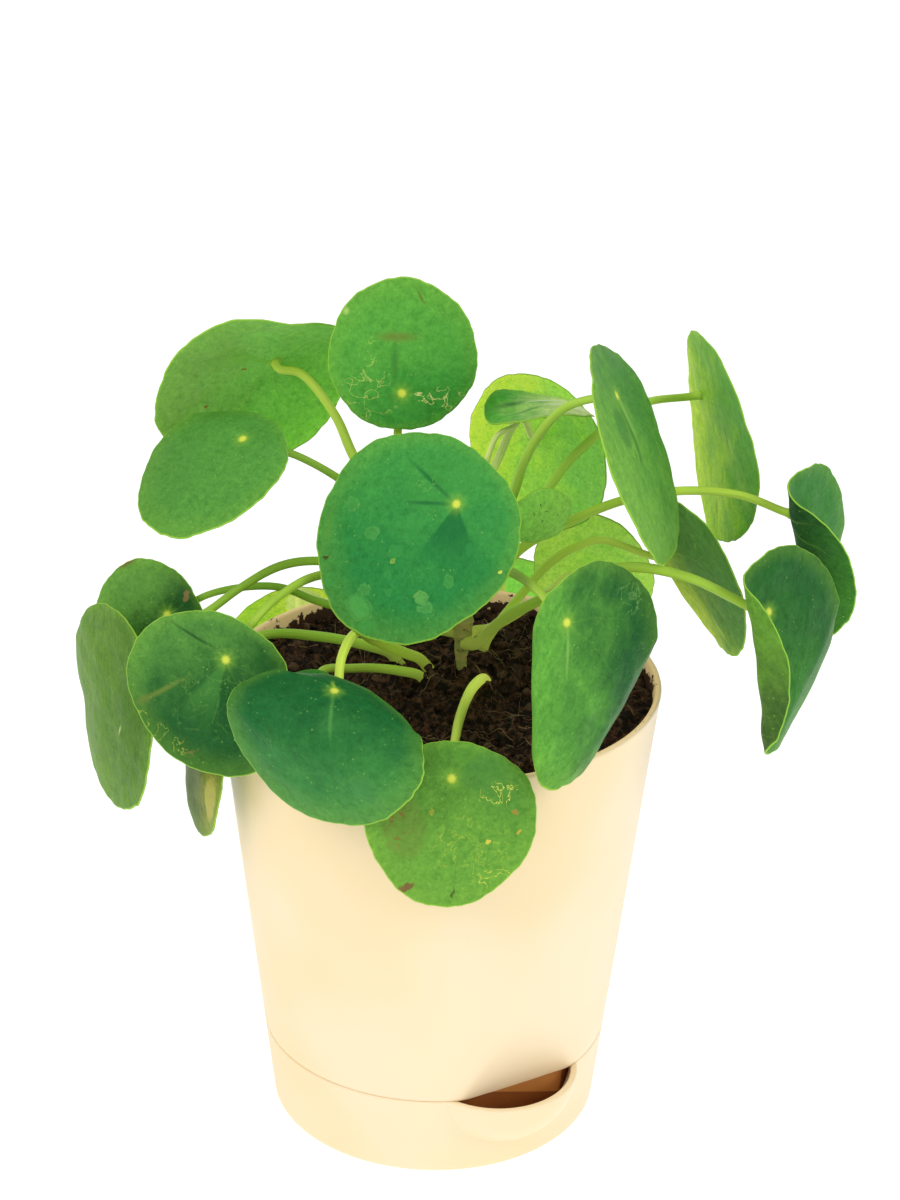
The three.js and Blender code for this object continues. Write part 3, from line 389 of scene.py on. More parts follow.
# ---------------------------------------------------------------- shaders
class Finish:
    """One node material, made step by step. Each step's node is placed right of the one before."""

    def __init__(self, name, uv_map=None):
        self.material = bpy.data.materials.new(name)
        self.material.use_nodes = True
        self.tree = self.material.node_tree
        self.tree.nodes.clear()
        self.column = 0
        self.surface = self.node("ShaderNodeBsdfPrincipled")
        output = self.node("ShaderNodeOutputMaterial")
        self.tree.links.new(self.surface.outputs[0], output.inputs["Surface"])
        if uv_map:
            self.place = self.node("ShaderNodeUVMap", uv_map=uv_map).outputs["UV"]
        else:
            self.place = self.node("ShaderNodeTexCoord").outputs["Object"]

    def node(self, kind, **values):
        """Adds a node and sets its values."""
        made = self.tree.nodes.new(kind)
        made.location = (180 * self.column, 0)
        self.column += 1
        for key, value in values.items():
            setattr(made, key, value)
        return made

    def put(self, socket, value):
        """Links another node's output to the socket, or gives it a number, a place or a colour."""
        if isinstance(value, bpy.types.NodeSocket):
            self.tree.links.new(value, socket)
        elif isinstance(value, str):
            socket.default_value = linear(value)
        elif hasattr(value, "__len__") and len(value) == 3 and socket.type == "RGBA":
            socket.default_value = [*value, 1.0]
        else:
            socket.default_value = value

    def set(self, **values):
        """Sets the surface's sockets, with the socket's name in lower case and _ for a space."""
        names = {socket.name.lower().replace(" ", "_"): socket for socket in self.surface.inputs}
        for key, value in values.items():
            self.put(names[key], value)

    def parts(self, place):
        """The three numbers of a place."""
        made = self.node("ShaderNodeSeparateXYZ")
        self.put(made.inputs[0], place)
        return made.outputs

    def math(self, operation, a, b=0.0, c=0.0):
        made = self.node("ShaderNodeMath", operation=operation)
        for socket, value in zip(made.inputs, (a, b, c)):
            self.put(socket, value)
        return made.outputs[0]

    def times(self, a, b):
        return self.math("MULTIPLY", a, b)

    def vector(self, operation, a, b=(0, 0, 0), scale=1.0):
        made = self.node("ShaderNodeVectorMath", operation=operation)
        self.put(made.inputs[0], a)
        self.put(made.inputs[1], b)
        if operation == "SCALE":
            self.put(made.inputs["Scale"], scale)
        return made.outputs["Value"] if operation in ("LENGTH", "DOT_PRODUCT") else made.outputs["Vector"]

    def fade(self, value, start, end, low=0.0, high=1.0):
        """low before start, high after end, and a smooth way between."""
        made = self.node("ShaderNodeMapRange", interpolation_type="SMOOTHSTEP")
        for socket, setting in zip(made.inputs, (value, start, end, low, high)):
            self.put(socket, setting)
        return made.outputs[0]

    def noise(self, scale, detail=3.0, place=None, shift=0.0, rough=0.5, warp=0.0):
        made = self.node("ShaderNodeTexNoise", noise_dimensions="4D")
        self.put(made.inputs["Vector"], place or self.place)
        made.inputs["W"].default_value = shift
        made.inputs["Scale"].default_value = scale
        made.inputs["Detail"].default_value = detail
        made.inputs["Roughness"].default_value = rough
        made.inputs["Distortion"].default_value = warp
        return made.outputs[0]

    def local(self, x, y, wide=1.0, high=1.0, turn=0.0, place=None):
        """The place as seen from (x, y), turned, in units of two half sizes."""
        made = self.node("ShaderNodeMapping", vector_type="TEXTURE")
        self.put(made.inputs["Vector"], place or self.place)
        self.put(made.inputs["Location"], (x, y, 0))
        self.put(made.inputs["Rotation"], (0, 0, turn * DEGREE))
        self.put(made.inputs["Scale"], (wide, high, 1))
        return made.outputs[0]

    def angle(self, place):
        """The turn of a place round the middle, from the first axis towards the second."""
        parts = self.parts(place)
        return self.math("ARCTAN2", parts["Y"], parts["X"])

    def cells(self, scale, feature="F1"):
        """Cells about scattered points: the outputs hold each point's Distance and each cell's Color."""
        made = self.node("ShaderNodeTexVoronoi", feature=feature)
        self.put(made.inputs["Vector"], self.place)
        made.inputs["Scale"].default_value = scale
        return made.outputs

    def chance(self, cells, channel=(1, 0, 0)):
        """A number from 0 to 1 for each cell."""
        return self.vector("DOT_PRODUCT", cells["Color"], channel)

    def mix(self, share, a, b, blend="MIX"):
        made = self.node("ShaderNodeMix", data_type="RGBA", blend_type=blend)
        self.put(made.inputs["Factor"], share)
        self.put(made.inputs[6], a)
        self.put(made.inputs[7], b)
        return made.outputs[2]

    def tint(self, share, shade, colour):
        """The shade, multiplied by a colour where share is high."""
        return self.mix(share, shade, self.mix(1.0, shade, colour, "MULTIPLY"))

    def bump(self, height, distance, strength=1.0, under=None):
        """The surface's tilt over a relief. distance is the relief's height in metres."""
        made = self.node("ShaderNodeBump")
        made.inputs["Strength"].default_value = strength
        made.inputs["Distance"].default_value = distance
        self.put(made.inputs["Height"], height)
        if under is not None:
            self.put(made.inputs["Normal"], under)
        return made.outputs[0]


def cream_finish(name, colour):
    """Satin moulded plastic with faint clouds, scuffs and specks."""
    finish = Finish(name)
    shade = finish.mix(finish.fade(finish.noise(14, 2), 0.35, 0.7), colour, "#fae6c2")
    cells = finish.cells(160)
    speck = finish.fade(cells["Distance"], 0.05, 0.09, 1.0, 0.0)
    rare = finish.math("GREATER_THAN", finish.chance(cells), 0.985)
    shade = finish.mix(finish.times(speck, finish.times(rare, 0.55)), shade, "#8a6a4a")
    scuffs = finish.fade(finish.noise(40, 3), 0.3, 0.7, 0.34, 0.46)
    finish.set(base_color=shade, roughness=scuffs, specular_ior_level=0.5,
               normal=finish.bump(finish.noise(900, 2), 0.00004, 0.5))
    return finish.material


def inner_finish(settings):
    """The pot's inner wall, with soil dust that thickens towards the potting mix, and a faint painted glow.
    """
    finish = Finish("pot_inner_wall")
    height = finish.parts(finish.place)["Z"]
    above = finish.fade(height, 134 * MM, 139.4 * MM, 0.65, 0.385)
    crumbs = finish.noise(300, 5, rough=0.65)
    dust = finish.fade(finish.math("SUBTRACT", above, crumbs), -0.012, 0.012)
    shade = finish.mix(dust, settings.inner, "#3a2418")
    # The emission is painted light that lifts the wall out of the leaves' shade.
    finish.set(base_color=shade, roughness=0.55, normal=finish.bump(dust, 0.0004, 0.6),
               emission_color=shade, emission_strength=0.2)
    return finish.material


def stain_and_shade_finish(name, colour, settings):
    """Plastic stained brown by water and painted shade, with painted shadow under a slanting line behind
    the spout.
    """
    finish = Finish(name)
    cloud = finish.noise(60, 4, rough=0.6)
    shade = finish.mix(finish.fade(cloud, 0.35, 0.65, 0.0, 0.3), colour, settings.stain_and_shade)
    turn = SPOUT_TURN * DEGREE
    across = finish.vector("DOT_PRODUCT", finish.place, (math.cos(turn), math.sin(turn), 0))
    height = finish.vector("DOT_PRODUCT", finish.place, (0, 0, 1))
    # Painted shadow: below is the share under a slanting line across the reservoir, or past one side of the
    # spout.
    slant, shadow_line_height, blur, dark_side = 0.38, 24 * MM, 0.1 * MM, 17.3 * MM
    shadow_line = finish.math("SUBTRACT", finish.math("MULTIPLY_ADD", across, slant, height), shadow_line_height)
    below = finish.math("MAXIMUM", finish.fade(shadow_line, -blur, blur, 1.0, 0.0),
                        finish.fade(across, dark_side, dark_side + 0.3 * MM))
    shade = finish.tint(below, shade, "#b8a290")
    finish.set(base_color=shade, roughness=finish.fade(cloud, 0.3, 0.7, 0.3, 0.6))
    return finish.material


def soil_finish(name, settings, pale_share):
    """Dark crumbly mix with paler specks."""
    finish = Finish(name)
    clumps = finish.noise(330, 6, rough=0.7)
    shade = finish.mix(finish.fade(clumps, 0.44, 0.66), settings.dark, settings.brown)
    pale = finish.chance(finish.cells(420))
    shade = finish.mix(finish.fade(pale, 1 - pale_share, 1.0, 0.0, 0.8), shade, "#6f5540")
    grit = finish.noise(900, 4, rough=0.7)
    finish.set(base_color=shade, roughness=0.92, specular_ior_level=0.2, normal=finish.bump(grit, 0.0009))
    return finish.material


def root_finish(settings):
    """Dry fibre, browner in places."""
    finish = Finish("rootlet_fibre")
    shade = finish.mix(finish.fade(finish.noise(260, 3), 0.35, 0.65), settings.root, "#5a4431")
    finish.set(base_color=shade, roughness=0.8)
    return finish.material


def felt_finish():
    """Off-white needled felt, browned by water and potting mix."""
    finish = Finish("wick_felt")
    fibres = finish.noise(700, 5, rough=0.7, warp=1.5)
    shade = finish.mix(finish.fade(fibres, 0.35, 0.7), "#cfc4ab", "#efe8d8")
    shade = finish.mix(finish.fade(finish.noise(90, 3), 0.4, 0.7, 0.2, 0.8), shade, "#8d7350")
    finish.set(base_color=shade, roughness=0.95, normal=finish.bump(fibres, 0.0004, 0.8))
    return finish.material


def bark_finish():
    """The crown's skin: ringed, brown over green, with a faint painted glow."""
    finish = Finish("crown_skin")
    rings = finish.noise(90, 4, place=finish.vector("MULTIPLY", finish.place, (1, 1, 4)))
    shade = finish.mix(finish.fade(rings, 0.38, 0.62), "#8f9c46", "#b0a65c")
    shade = finish.mix(finish.fade(finish.noise(420, 3), 0.55, 0.7), shade, "#6a5a34")
    # The emission is a painted glow that brightens the crown.
    finish.set(base_color=shade, roughness=0.7, normal=finish.bump(rings, 0.0006, 0.7),
               emission_color=shade, emission_strength=0.09)
    return finish.material


def stalk_finish(name, foot, tip, seed, through):
    """A juicy stalk, streaked along its length, paler under the blade and browner at its foot, with a
    painted glow.
    """
    finish = Finish(name, "stalk")
    parts = finish.parts(finish.place)
    turn, along = finish.times(parts["X"], FULL_TURN), parts["Y"]
    round_it = finish.node("ShaderNodeCombineXYZ")
    finish.put(round_it.inputs["X"], finish.math("COSINE", turn))
    finish.put(round_it.inputs["Y"], finish.math("SINE", turn))
    finish.put(round_it.inputs["Z"], finish.times(along, 1.5))
    streaks = finish.noise(3.5, 4, place=round_it.outputs[0], shift=seed)
    shade = finish.mix(finish.fade(along, 0.05, 0.75), foot, tip)
    shade = finish.mix(finish.fade(streaks, 0.4, 0.75, 0.0, 0.35), shade, "#86b03a")
    shade = finish.mix(finish.fade(along, 0.0, 0.3, 0.42, 0.0), shade, "#b09a56")
    # The emission is a painted glow, strongest near the foot, that stands for light shining through the
    # stalk.
    finish.set(base_color=shade, roughness=finish.fade(streaks, 0.3, 0.7, 0.34, 0.48), ior=1.35,
               specular_ior_level=0.3, normal=finish.bump(streaks, 0.0003, 0.4), emission_color=shade,
               emission_strength=finish.fade(along, 0.15, 0.6, through, 0.1 * through))
    return finish.material


def draw_mark(finish, shade, mark, ragged, scrawl):
    """Lays one mark of a leaf over its shade. ragged is the place with a wavering edge, and scrawl is high
    on thin winding lines."""
    kind, *shape, colour, strength = mark
    if kind == "wedge":
        turn, spread, length = shape
        blur = 5
        swing = finish.math("ABSOLUTE", finish.angle(finish.local(0, 0, turn=turn)))
        inside = finish.fade(swing, (spread - blur) * DEGREE, (spread + blur) * DEGREE, 1.0, 0.0)
        fall = finish.fade(finish.vector("LENGTH", ragged), 0.3 * length, length, 1.0, 0.0)
        inside = finish.times(inside, fall)
    elif kind == "line":
        away = finish.vector("LENGTH", finish.local(*shape))
        inside = finish.fade(away, 0.0, 1.1, 1.0, 0.0)
    else:
        away = finish.vector("LENGTH", finish.local(*shape, place=ragged))
        inside = finish.fade(away, 0.7, 1.05, 1.0, 0.0)
        if kind == "ring":
            line_width = 0.035 / min(shape[2:4])
            off = finish.math("ABSOLUTE", finish.math("SUBTRACT", away, 1))
            line = finish.fade(off, 0.0, line_width, 0.6, 0.0)
            inside = finish.math("MAXIMUM", line, finish.times(inside, 0.3))
        if kind == "scribble":
            inside = finish.times(inside, scrawl)
    return finish.mix(finish.times(inside, strength), shade, colour)


def shade_slope(finish, skin, side, seed):
    """The share of the way from a face's dim place to its lit one, clouded."""
    dim, lit = (Vector(skin.get(end + side, skin[end])) for end in ("dim", "lit"))
    way = (lit - dim) / (lit - dim).length_squared
    along = finish.math("SUBTRACT", finish.vector("DOT_PRODUCT", finish.place, (*way, 0)), dim.dot(way))
    clouds = finish.noise(0.9, 3, shift=seed, warp=0.4)
    return finish.math("ADD", along, finish.times(finish.math("SUBTRACT", clouds, 0.5), 1.3))


def ragged_place(finish):
    """The place, shaken by a fine noise."""
    shiver = finish.node("ShaderNodeTexNoise")
    finish.put(shiver.inputs["Vector"], finish.place)
    finish.put(shiver.inputs["Scale"], 5.0)
    finish.put(shiver.inputs["Detail"], 5.0)
    centred = finish.vector("SUBTRACT", shiver.outputs["Color"], (0.5, 0.5, 0.5))
    return finish.vector("ADD", finish.place, finish.vector("SCALE", centred, scale=0.3))


def blade_finish(name, skin, settings, seed, underside=False):
    """A blade's skin. Its coordinates are centimetres from the hub, and a second set holds the share of the
    way from the hub to the edge. Its colour holds painted shade and light: a slope from dim to lit, a paler
    edge, a pale rim and a glow that stands for light shining through."""
    finish = Finish(name, "blade")
    side = "_under" if underside else ""
    deep, light = skin["under" if underside else "upper"]
    reach = finish.parts(finish.node("ShaderNodeUVMap", uv_map="edge").outputs["UV"])["X"]
    away = finish.vector("LENGTH", finish.place)

    shade = finish.mix(finish.fade(shade_slope(finish, skin, side, seed), -0.1, 1.1), deep, light)
    # Painted light: the upper face grows paler towards its edge, where the thin blade catches the light.
    if not underside:
        shade = finish.mix(finish.fade(reach, 0.72, 1.0, 0.0, 0.22), shade, settings.glow)
    swells = finish.noise(4.2, 4, shift=seed + 3, rough=0.6)
    shade = finish.tint(finish.fade(swells, 0.5, 0.68, 0.0, 0.6), shade, (1.32, 1.2, 1.2))
    shade = finish.tint(finish.fade(swells, 0.34, 0.5, 0.6, 0.0), shade, (0.68, 0.78, 0.74))
    if "grain" in skin:
        streaks = finish.noise(5, 4, place=finish.local(0, 0, 4, 0.6, skin["grain"]), shift=seed, rough=0.6)
        shade = finish.tint(finish.fade(streaks, 0.45, 0.72, 0.0, 0.7), shade, (1.3, 1.16, 1.2))
        shade = finish.tint(finish.fade(streaks, 0.3, 0.5, 0.6, 0.0), shade, (0.7, 0.8, 0.76))
    mottle = finish.noise(11, 4, shift=seed + 5, rough=0.6)
    shade = finish.tint(finish.fade(mottle, 0.36, 0.62, 0.34, 0.0), shade, "#b2c6ac")

    wander = finish.times(finish.noise(0.7, 2, shift=seed + 7), 0.9)
    phase = finish.math("ADD", finish.times(finish.angle(finish.place), VEINS / FULL_TURN), wander)
    from_vein = finish.math("PINGPONG", phase, 0.5)
    vein = finish.fade(finish.times(from_vein, away), 0.0, 0.07, 1.0, 0.0)
    vein = finish.times(vein, finish.fade(reach, 0.35, 0.9, 1.0, 0.0))
    net = finish.fade(finish.cells(2.6, "DISTANCE_TO_EDGE")["Distance"], 0.0, 0.045, 1.0, 0.0)
    lines = finish.math("MAXIMUM", vein, finish.times(net, 0.3))
    vein_share, vein_colour = (0.22, "#a9cf5c") if underside else (0.16, light)
    shade = finish.mix(finish.times(lines, vein_share), shade, vein_colour)

    cells = finish.cells(8)
    freckle = finish.fade(cells["Distance"], 0.08, 0.3, 1.0, 0.0)
    freckle = finish.times(freckle, finish.fade(finish.chance(cells, (0, 1, 0)), 0.8, 0.9))
    shade = finish.mix(finish.times(freckle, 0.5), shade, "#8fc05a")

    ragged = ragged_place(finish)
    winding = finish.math("SUBTRACT", finish.noise(1.7, 4, shift=seed, warp=0.9), 0.5)
    scrawl = finish.fade(finish.math("ABSOLUTE", winding), 0.003, 0.013, 1.0, 0.0)
    for mark in skin["marks" + side]:
        shade = draw_mark(finish, shade, mark, ragged, scrawl)

    if skin["hub"]:
        rays = finish.times(away, finish.fade(from_vein, 0.0, 0.5, 0.93, 1.07))
        shade = finish.mix(finish.fade(rays, 0.06, 0.42, 0.5, 0.0), shade, settings.glow)
        if not underside:
            shade = finish.mix(finish.fade(rays, 0.05, 0.17, 0.95, 0.0), shade, settings.hub)
    # Painted light: a pale rim where the light catches the blade's thin edge.
    shade = finish.mix(finish.fade(reach, 0.983, 0.997, 0.0, 0.85), shade, settings.rim)

    relief = finish.bump(lines, 0.0003, 0.5 if underside else -0.35)
    relief = finish.bump(swells, 0.0012, 0.6, relief)
    relief = finish.bump(mottle, 0.00018, 0.7, relief)
    glossy, dull = (0.5, 0.7) if underside else (0.38, 0.52)
    # The emission is a painted glow that stands for light shining through the blade.
    finish.set(base_color=shade, roughness=finish.fade(mottle, 0.3, 0.7, glossy, dull), ior=1.3,
               specular_ior_level=0.2 if underside else 0.22, normal=relief, emission_color=shade,
               emission_strength=skin["through" + side])
    if underside:
        finish.set(subsurface_weight=0.85, subsurface_radius=(0.8, 1.0, 0.35), subsurface_scale=2.5 * MM)
    return finish.material


# ---------------------------------------------------------------- mesh helpers
def make_object(name, points, faces, materials, slots=None, maps=None):
    """A smooth mesh object from points in millimetres. slots holds each face's material. maps holds named
    coordinates, one pair per corner."""
    mesh = bpy.data.meshes.new(name)
    mesh.from_pydata([tuple(p) for p in np.asarray(points, float) * MM], [], faces)
    for material in materials:
        mesh.materials.append(material)
    if slots is not None:
        mesh.polygons.foreach_set("material_index", slots)
    for map_name, pairs in (maps or {}).items():
        layer = mesh.uv_layers.new(name=map_name)
        layer.data.foreach_set("uv", np.asarray(pairs, np.float32).ravel())
    mesh.polygons.foreach_set("use_smooth", [True] * len(mesh.polygons))
    mesh.validate()
    piece = bpy.data.objects.new(name, mesh)
    bpy.context.scene.collection.objects.link(piece)
    return piece


def stand_in(piece, node):
    """The piece stands for one solid of the plant and rides with it."""
    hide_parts(node)
    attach(piece, "root")


def wall_radius(height):
    """The outer radius of the tapered wall."""
    return FOOT_RADIUS + (RIM_RADIUS - FOOT_RADIUS) * height / POT_HEIGHT


def soft_min(a, b, width):
    """The lesser of two arrays, rounded over the given width where they cross."""
    share = np.clip(0.5 + 0.5 * (b - a) / width, 0, 1)
    return b + (a - b) * share - width * share * (1 - share)


def level_ring(turns, reach, height):
    """A ring of points at one height round the pot's axis."""
    return np.stack([reach * np.cos(turns), reach * np.sin(turns), np.full_like(turns, height)], 1)


def stack_rings(name, rings, materials, slots, looped=False):
    """Joins rings of equal length into a closed skin, with a point at each end, or looped back to the
    first. rings is a list of arrays of points, and slots gives the material of the band above each ring."""
    count = len(rings[0])
    faces, face_slots = [], []
    for i in range(len(rings) - (not looped)):
        above = (i + 1) % len(rings)
        for k in range(count):
            n = (k + 1) % count
            faces.append((i * count + k, i * count + n, above * count + n, above * count + k))
            face_slots.append(slots[i])
    points = np.concatenate(rings)
    if looped:
        return make_object(name, points, faces, materials, face_slots)
    points = np.concatenate([points, rings[0].mean(0, keepdims=True), rings[-1].mean(0, keepdims=True)])
    first, last = len(points) - 2, len(points) - 1
    end = (len(rings) - 1) * count
    for k in range(count):
        n = (k + 1) % count
        faces += [(first, n, k), (last, end + k, end + n)]
        face_slots += [slots[0], slots[-1]]
    return make_object(name, points, faces, materials, face_slots)


# ---------------------------------------------------------------- pot and reservoir
SPOUT_MIDDLE = (SPOUT_TURN - 90) * DEGREE        # turn of the spout's middle from +X
FACET_LEAN = math.atan2(wall_radius(FACET_TOP) - SPOUT_CHORD, FACET_TOP - SEAM_HEIGHT)


def from_spout(turns):
    """The angle of each turn from the middle of the spout. Turns run from +X."""
    return (turns - SPOUT_MIDDLE + math.pi) % FULL_TURN - math.pi


def pot_ring(turns, radius, height, inset, crease):
    """A ring of the pot, with the facet cut in. inset is how far inside the outer skin the ring runs, and
    crease is the width of the rounding where the facet meets the wall."""
    chord = SPOUT_CHORD + (height - SEAM_HEIGHT) * math.tan(FACET_LEAN) - inset / math.cos(FACET_LEAN)
    swing = from_spout(turns)
    far_out, least_cosine = 1e3, 0.17
    cut = chord / np.maximum(np.cos(swing), least_cosine)
    facet = np.where(np.abs(swing) < FACET_SPREAD * DEGREE, cut, far_out)
    return level_ring(turns, soft_min(np.full_like(turns, radius), facet, crease), height)


def lip_ring(turns, radius, height, grown, crease):
    """A ring of the reservoir, with the lip added. grown is the wall round the lip's inside."""
    swing = from_spout(turns)
    middle = SPOUT_REACH - SPOUT_RADIUS
    fall = min(max((SEAM_HEIGHT - height) / (SPOUT_DEPTH + grown), 0.0), 1.0)
    level = (SPOUT_RADIUS + grown) * math.sqrt(1 - fall * fall)
    inside = level ** 2 - (middle * np.sin(swing)) ** 2
    bowl = middle * np.cos(swing) + np.sqrt(np.maximum(inside, 0))
    lip = np.where((inside > 0) & (np.cos(swing) > 0), bowl, 0)
    return level_ring(turns, -soft_min(np.full_like(turns, -radius), -lip, crease), height)


def spread_turns(sectors):
    """Turns round the pot, closer together about the spout."""
    swing = np.linspace(0, FULL_TURN, sectors, endpoint=False) - math.pi
    return SPOUT_MIDDLE + swing - 0.45 * np.sin(swing)


def skirt_radius(height):
    """The outer radius of the skirt that stands in the reservoir."""
    return wall_radius(height) - SKIRT_INSET


def mould_pot(settings):
    """The pot in one closed skin: floor and skirt, outer wall, rim, and the inside down to the floor."""
    turns = spread_turns(settings.sectors)
    crease = settings.crease / MM
    rings, slots = [], []

    def ring(radius, height, slot, inset=0.0):
        rings.append(pot_ring(turns, radius, height, inset, crease))
        slots.append(slot)

    # The skirt that shows through the spout is brown: partly water staining, partly painted shade.
    cream, inner, stain_and_shade = 0, 1, 2
    floor_edge = 1
    ring(WICK_RADIUS + FIT, FLOOR_HEIGHT, stain_and_shade)
    ring(skirt_radius(FLOOR_HEIGHT) - floor_edge, FLOOR_HEIGHT, stain_and_shade)
    for height in (FLOOR_HEIGHT + 0.6, 18, 22, SEAM_HEIGHT - 0.4):
        ring(skirt_radius(height), height, stain_and_shade)
    seam = SEAM_HEIGHT + SEAM_GAP
    ring(skirt_radius(SEAM_HEIGHT), seam - 0.1, cream)
    ring(wall_radius(SEAM_HEIGHT) - 0.5, seam, cream)
    ring(wall_radius(SEAM_HEIGHT) - SEAM_EDGE, seam + SEAM_EDGE, cream)
    for height in [*np.arange(28, 58, 1.0), *np.arange(58, 138, 4.0), 138.4]:
        ring(wall_radius(height), height, cream)
    half_rim = 0.98
    for angle in range(0, 181, 30):
        radius = RIM_RADIUS - RIM_EDGE + math.cos(angle * DEGREE) * half_rim
        height = POT_HEIGHT - RIM_EDGE + math.sin(angle * DEGREE) * RIM_EDGE
        ring(radius, height, cream if angle < 60 else inner)
    for height in [138, 137, 136, 135, 134, 130, *np.arange(120, 56, -8.0), *np.arange(56, 28, -2.0)]:
        ring(wall_radius(height) - WALL, height, inner, WALL)
    floor_top = FLOOR_HEIGHT + FLOOR_THICKNESS
    ring(skirt_radius(SEAM_HEIGHT) - WALL, SEAM_HEIGHT, inner, WALL)
    ring(skirt_radius(floor_top) - WALL, floor_top, inner, WALL)
    ring(WICK_RADIUS + FIT, floor_top, inner, WALL)
    materials = [cream_finish("pot_cream", settings.cream), inner_finish(settings),
                 stain_and_shade_finish("pot_skirt", settings.stain_and_shade, settings)]
    pot = stack_rings("pot_shell", rings, materials, slots, looped=True)
    stand_in(pot, "pot_body")


def mould_reservoir(settings):
    """The reservoir in one closed skin: foot, outer wall with the lip, and the inside down to its floor."""
    turns = spread_turns(settings.sectors)
    crease = settings.crease / MM
    rings, slots = [], []

    def ring(radius, height, slot, grown):
        rings.append(lip_ring(turns, radius, height, grown, crease))
        slots.append(slot)

    # Low down, the inside is brown: partly water staining, partly painted shade.
    cream, stain_and_shade = 0, 1
    middle_dot = 0.5
    ring(middle_dot, 0, cream, WALL)
    for angle in range(0, 91, 18):
        radius = wall_radius(FOOT_EDGE) - FOOT_EDGE + FOOT_EDGE * math.sin(angle * DEGREE)
        ring(radius, FOOT_EDGE - FOOT_EDGE * math.cos(angle * DEGREE), cream, WALL)
    for height in [3.2, *np.arange(4, 26.5, 0.75)]:
        ring(wall_radius(height), height, cream, WALL)
    top = wall_radius(SEAM_HEIGHT)
    ring(wall_radius(SEAM_HEIGHT - LIP_EDGE), SEAM_HEIGHT - LIP_EDGE, cream, WALL)
    ring(top - SEAM_EDGE, SEAM_HEIGHT - SEAM_EDGE, cream, WALL - SEAM_EDGE)
    ring(top - LIP_EDGE, SEAM_HEIGHT, cream, WALL - LIP_EDGE)
    ring(top - WALL + LIP_EDGE, SEAM_HEIGHT, cream, LIP_EDGE)
    ring(top - WALL + 0.1, SEAM_HEIGHT - 0.15, cream, 0.1)
    for height in [*np.arange(26.4, 5, -0.8), BASE_FLOOR_EDGE]:
        ring(wall_radius(height) - WALL, height, cream if height > STAIN_AND_SHADE_TOP else stain_and_shade, 0)
    ring(wall_radius(0) - WALL - 2, BASE_FLOOR, stain_and_shade, 0)
    ring(middle_dot, BASE_FLOOR, stain_and_shade, 0)
    materials = [cream_finish("reservoir_cream", settings.cream),
                 stain_and_shade_finish("reservoir_inside", settings.cream, settings)]
    base = stack_rings("reservoir_shell", rings, materials, slots)
    stand_in(base, "reservoir_base")


def stand_wick():
    """The felt wick, from the reservoir's floor up into the potting mix, a little uneven as cut felt is."""
    turns = np.linspace(0, FULL_TURN, 64, endpoint=False)
    bottom = BASE_FLOOR + FIT
    heights = [bottom, *np.linspace(bottom + WICK_EDGE, WICK_TOP - WICK_EDGE, 24), WICK_TOP]
    rings = []
    for height in heights:
        radius = WICK_RADIUS - (WICK_EDGE if height in (bottom, WICK_TOP) else 0)
        radius = radius - 0.1 * (1 + np.sin(5 * turns + height) * np.sin(0.9 * height))
        rings.append(level_ring(turns, radius, height))
    wick = stack_rings("wick_cord", rings, [felt_finish()], [0] * len(rings))
    stand_in(wick, "wick")


# ---------------------------------------------------------------- soil
def soil_reach(height):
    """The radius of the soil inside the pot's wall."""
    return wall_radius(height) - WALL - SOIL_GAP


def soil_height(x, y):
    """The soil's top: a mound about the crown, with clods."""
    from_crown = np.hypot(x - CROWN["x"], y - CROWN["y"])
    clods = 0.5 * np.sin(0.31 * x + 1.1) * np.cos(0.27 * y) + 0.4 * np.sin(0.53 * y + 0.2 * x)
    return SOIL_EDGE + SOIL_MOUND * np.exp(-((from_crown / 24) ** 2)) + clods


def soil_grit(x, y):
    """Finer lumps on the soil: waves of falling length in turning directions."""
    lumps = np.zeros_like(x)
    rng = np.random.default_rng(11)
    for wave in range(46):
        length = 11 * 0.93 ** wave + 1.4
        way = rng.uniform(0, FULL_TURN)
        phase = rng.uniform(0, FULL_TURN)
        along = x * np.cos(way) + y * np.sin(way)
        lumps += 0.045 * length ** 0.8 * np.sin(FULL_TURN / length * along + phase)
    return lumps


def pile_soil(settings):
    """The potting mix down the pot's wall, and the rings of its lumpy top, calmer along the wall."""
    sectors, top_rings, calm_strip = 220, 74, 4
    turns = np.linspace(0, FULL_TURN, sectors, endpoint=False)
    rings = []
    for height in (28, 80, 120, 130):
        rings.append(pot_ring(turns, soil_reach(height), height, WALL + SOIL_GAP, 1.0))
    limit = soil_reach(SOIL_EDGE)
    for i in range(top_rings):
        reach = limit * (1 - i / top_rings)
        x, y = reach * np.cos(turns), reach * np.sin(turns)
        inward = np.clip((limit - reach) / calm_strip, 0, 1)
        z = soil_height(x, y) + soil_grit(x, y) * (0.35 + 0.65 * inward)
        rings.append(np.stack([x, y, z], 1))
    material = soil_finish("potting_mix", settings, 0.12)
    soil = stack_rings("potting_mix", rings, [material], [0] * len(rings))
    stand_in(soil, "soil")


